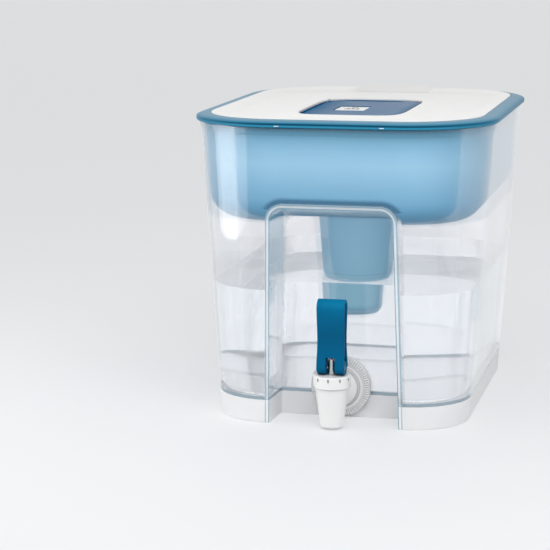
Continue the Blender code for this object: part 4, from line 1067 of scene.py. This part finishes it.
keptMaterials = {
    greySilicone: ("tap_gasket_outer", "tap_gasket_inner", "valve_seat_cup", "cartridge_seal",
                   "gauge_button"),
    whitePlastic: ("tap_lock_nut", "cartridge_body", "cartridge_cap", "gauge_housing"),
    steel: ("tap_spring", "tap_stem", "lever_pin", "gauge_battery"),
    meshGrey: ("cartridge_mesh",), carbon: ("filter_media",), boardGreen: ("gauge_board",),
    window: ("gauge_display",), panel: ("gauge_window",),
}
for material, nodeNames in keptMaterials.items():
    for nodeName in nodeNames:
        slots = frame["nodes"][nodeName].data.materials
        slots.clear()
        slots.append(material)
print("kept solids dressed")


# Floor, light and camera

studio = {
    "floorColour": "#E9EBED", "floorSeen": "#FAFBFC", "floorShare": 0.45, "floorHalf": 30000,
    "floorDrop": 0.00005, "worldLight": 0.53, "worldSeen": 1.0,
    "sidePower": 1.4, "topPower": 3.4, "fillPower": 2.6,
}
# the camera that was fitted to the photo: focal length in its pixels, place in metres, turns in degrees
view = {
    "focal": 2025.4, "pixels": 550, "sensor": 36.0, "place": (0.2765, -1.4612, 0.3549),
    "turn": 13.33, "down": 10.26, "roll": -0.22, "farthest": 200,
}


def seenRay(add):
    # one where the camera looks, straight or by way of gloss or clear plastic
    rays = add("LightPath").outputs
    gloss = add("Math MAXIMUM", rays["Is Camera Ray"], rays["Is Glossy Ray"])
    return add("Math MAXIMUM", gloss, rays["Is Transmission Ray"])


def floorBoard(add):
    # painted board, matt: it glows where the camera sees it, so that it runs into the backdrop
    shader = add("BsdfPrincipled", Base_Color=linear(studio["floorColour"]), Roughness=0.6)
    bright = add("Emission", Color=linear(studio["floorSeen"]))
    rays = add("LightPath").outputs
    faint = add("Math MULTIPLY", seenRay(add), studio["floorShare"])
    through = add("Math MAXIMUM", faint, rays["Is Transmission Ray"])
    share = add("Math MAXIMUM", through, rays["Is Glossy Ray"])
    return [add("MixShader", share, shader, bright)]


def makeFloor():
    shape = bmesh.new()
    bmesh.ops.create_grid(shape, x_segments=1, y_segments=1, size=studio["floorHalf"])
    floor = toObject("paleFloor", shape)
    floor.location.z = -studio["floorDrop"]
    floor.data.materials.append(newMaterial("floor, matt pale", floorBoard))


def makeWorld():
    world = bpy.data.worlds.new("studio")
    bpy.context.scene.world = world
    world.use_nodes = True
    world.node_tree.nodes.clear()
    add = partial(addNode, world.node_tree)
    strength = add("MapRange", Value=seenRay(add), To_Min=studio["worldLight"], To_Max=studio["worldSeen"])
    back = add("Background", Color=(1, 1, 1, 1), Strength=strength)
    add("OutputWorld", Surface=back)


def addLight(name, power, size, place, target):
    lamp = bpy.data.lights.new(name, "AREA")
    lamp.shape = "RECTANGLE"
    lamp.size, lamp.size_y = size
    lamp.energy = power
    holder = bpy.data.objects.new(name, lamp)
    holder.visible_camera = False
    holder.location = place
    holder.rotation_euler = (Vector(target) - Vector(place)).to_track_quat("-Z", "Y").to_euler()
    bpy.context.scene.collection.objects.link(holder)


def makeCamera():
    camera = bpy.data.cameras.new("camera")
    camera.sensor_fit = "HORIZONTAL"
    camera.sensor_width = view["sensor"]
    camera.lens = view["focal"] / view["pixels"] * view["sensor"]
    camera.clip_end = view["farthest"]
    holder = bpy.data.objects.new("camera", camera)
    turns = ((view["turn"], "Z"), (90 - view["down"], "X"), (view["roll"], "Z"))
    holder.matrix_world = Matrix.Translation(view["place"])
    for angle, axis in turns:
        holder.matrix_world = holder.matrix_world @ Matrix.Rotation(radians(angle), 4, axis)
    bpy.context.scene.collection.objects.link(holder)
    bpy.context.scene.camera = holder


makeFloor()
makeWorld()
# it stands close by and low, so that the jug's left corner shows it as a tall soft band
addLight("left softbox", studio["sidePower"], (0.58, 0.5), (-0.56, -0.26, 0.25), (0, 0, 0.24))
addLight("top softbox", studio["topPower"], (0.6, 0.4), (0.2, -0.62, 0.75), (0.02, -0.05, 0.2))
addLight("right fill", studio["fillPower"], (1.0, 1.0), (1.3, -0.9, 0.6), (0, 0, 0.12))
makeCamera()
bpy.context.scene.view_settings.view_transform = "Standard"
print("stage set")
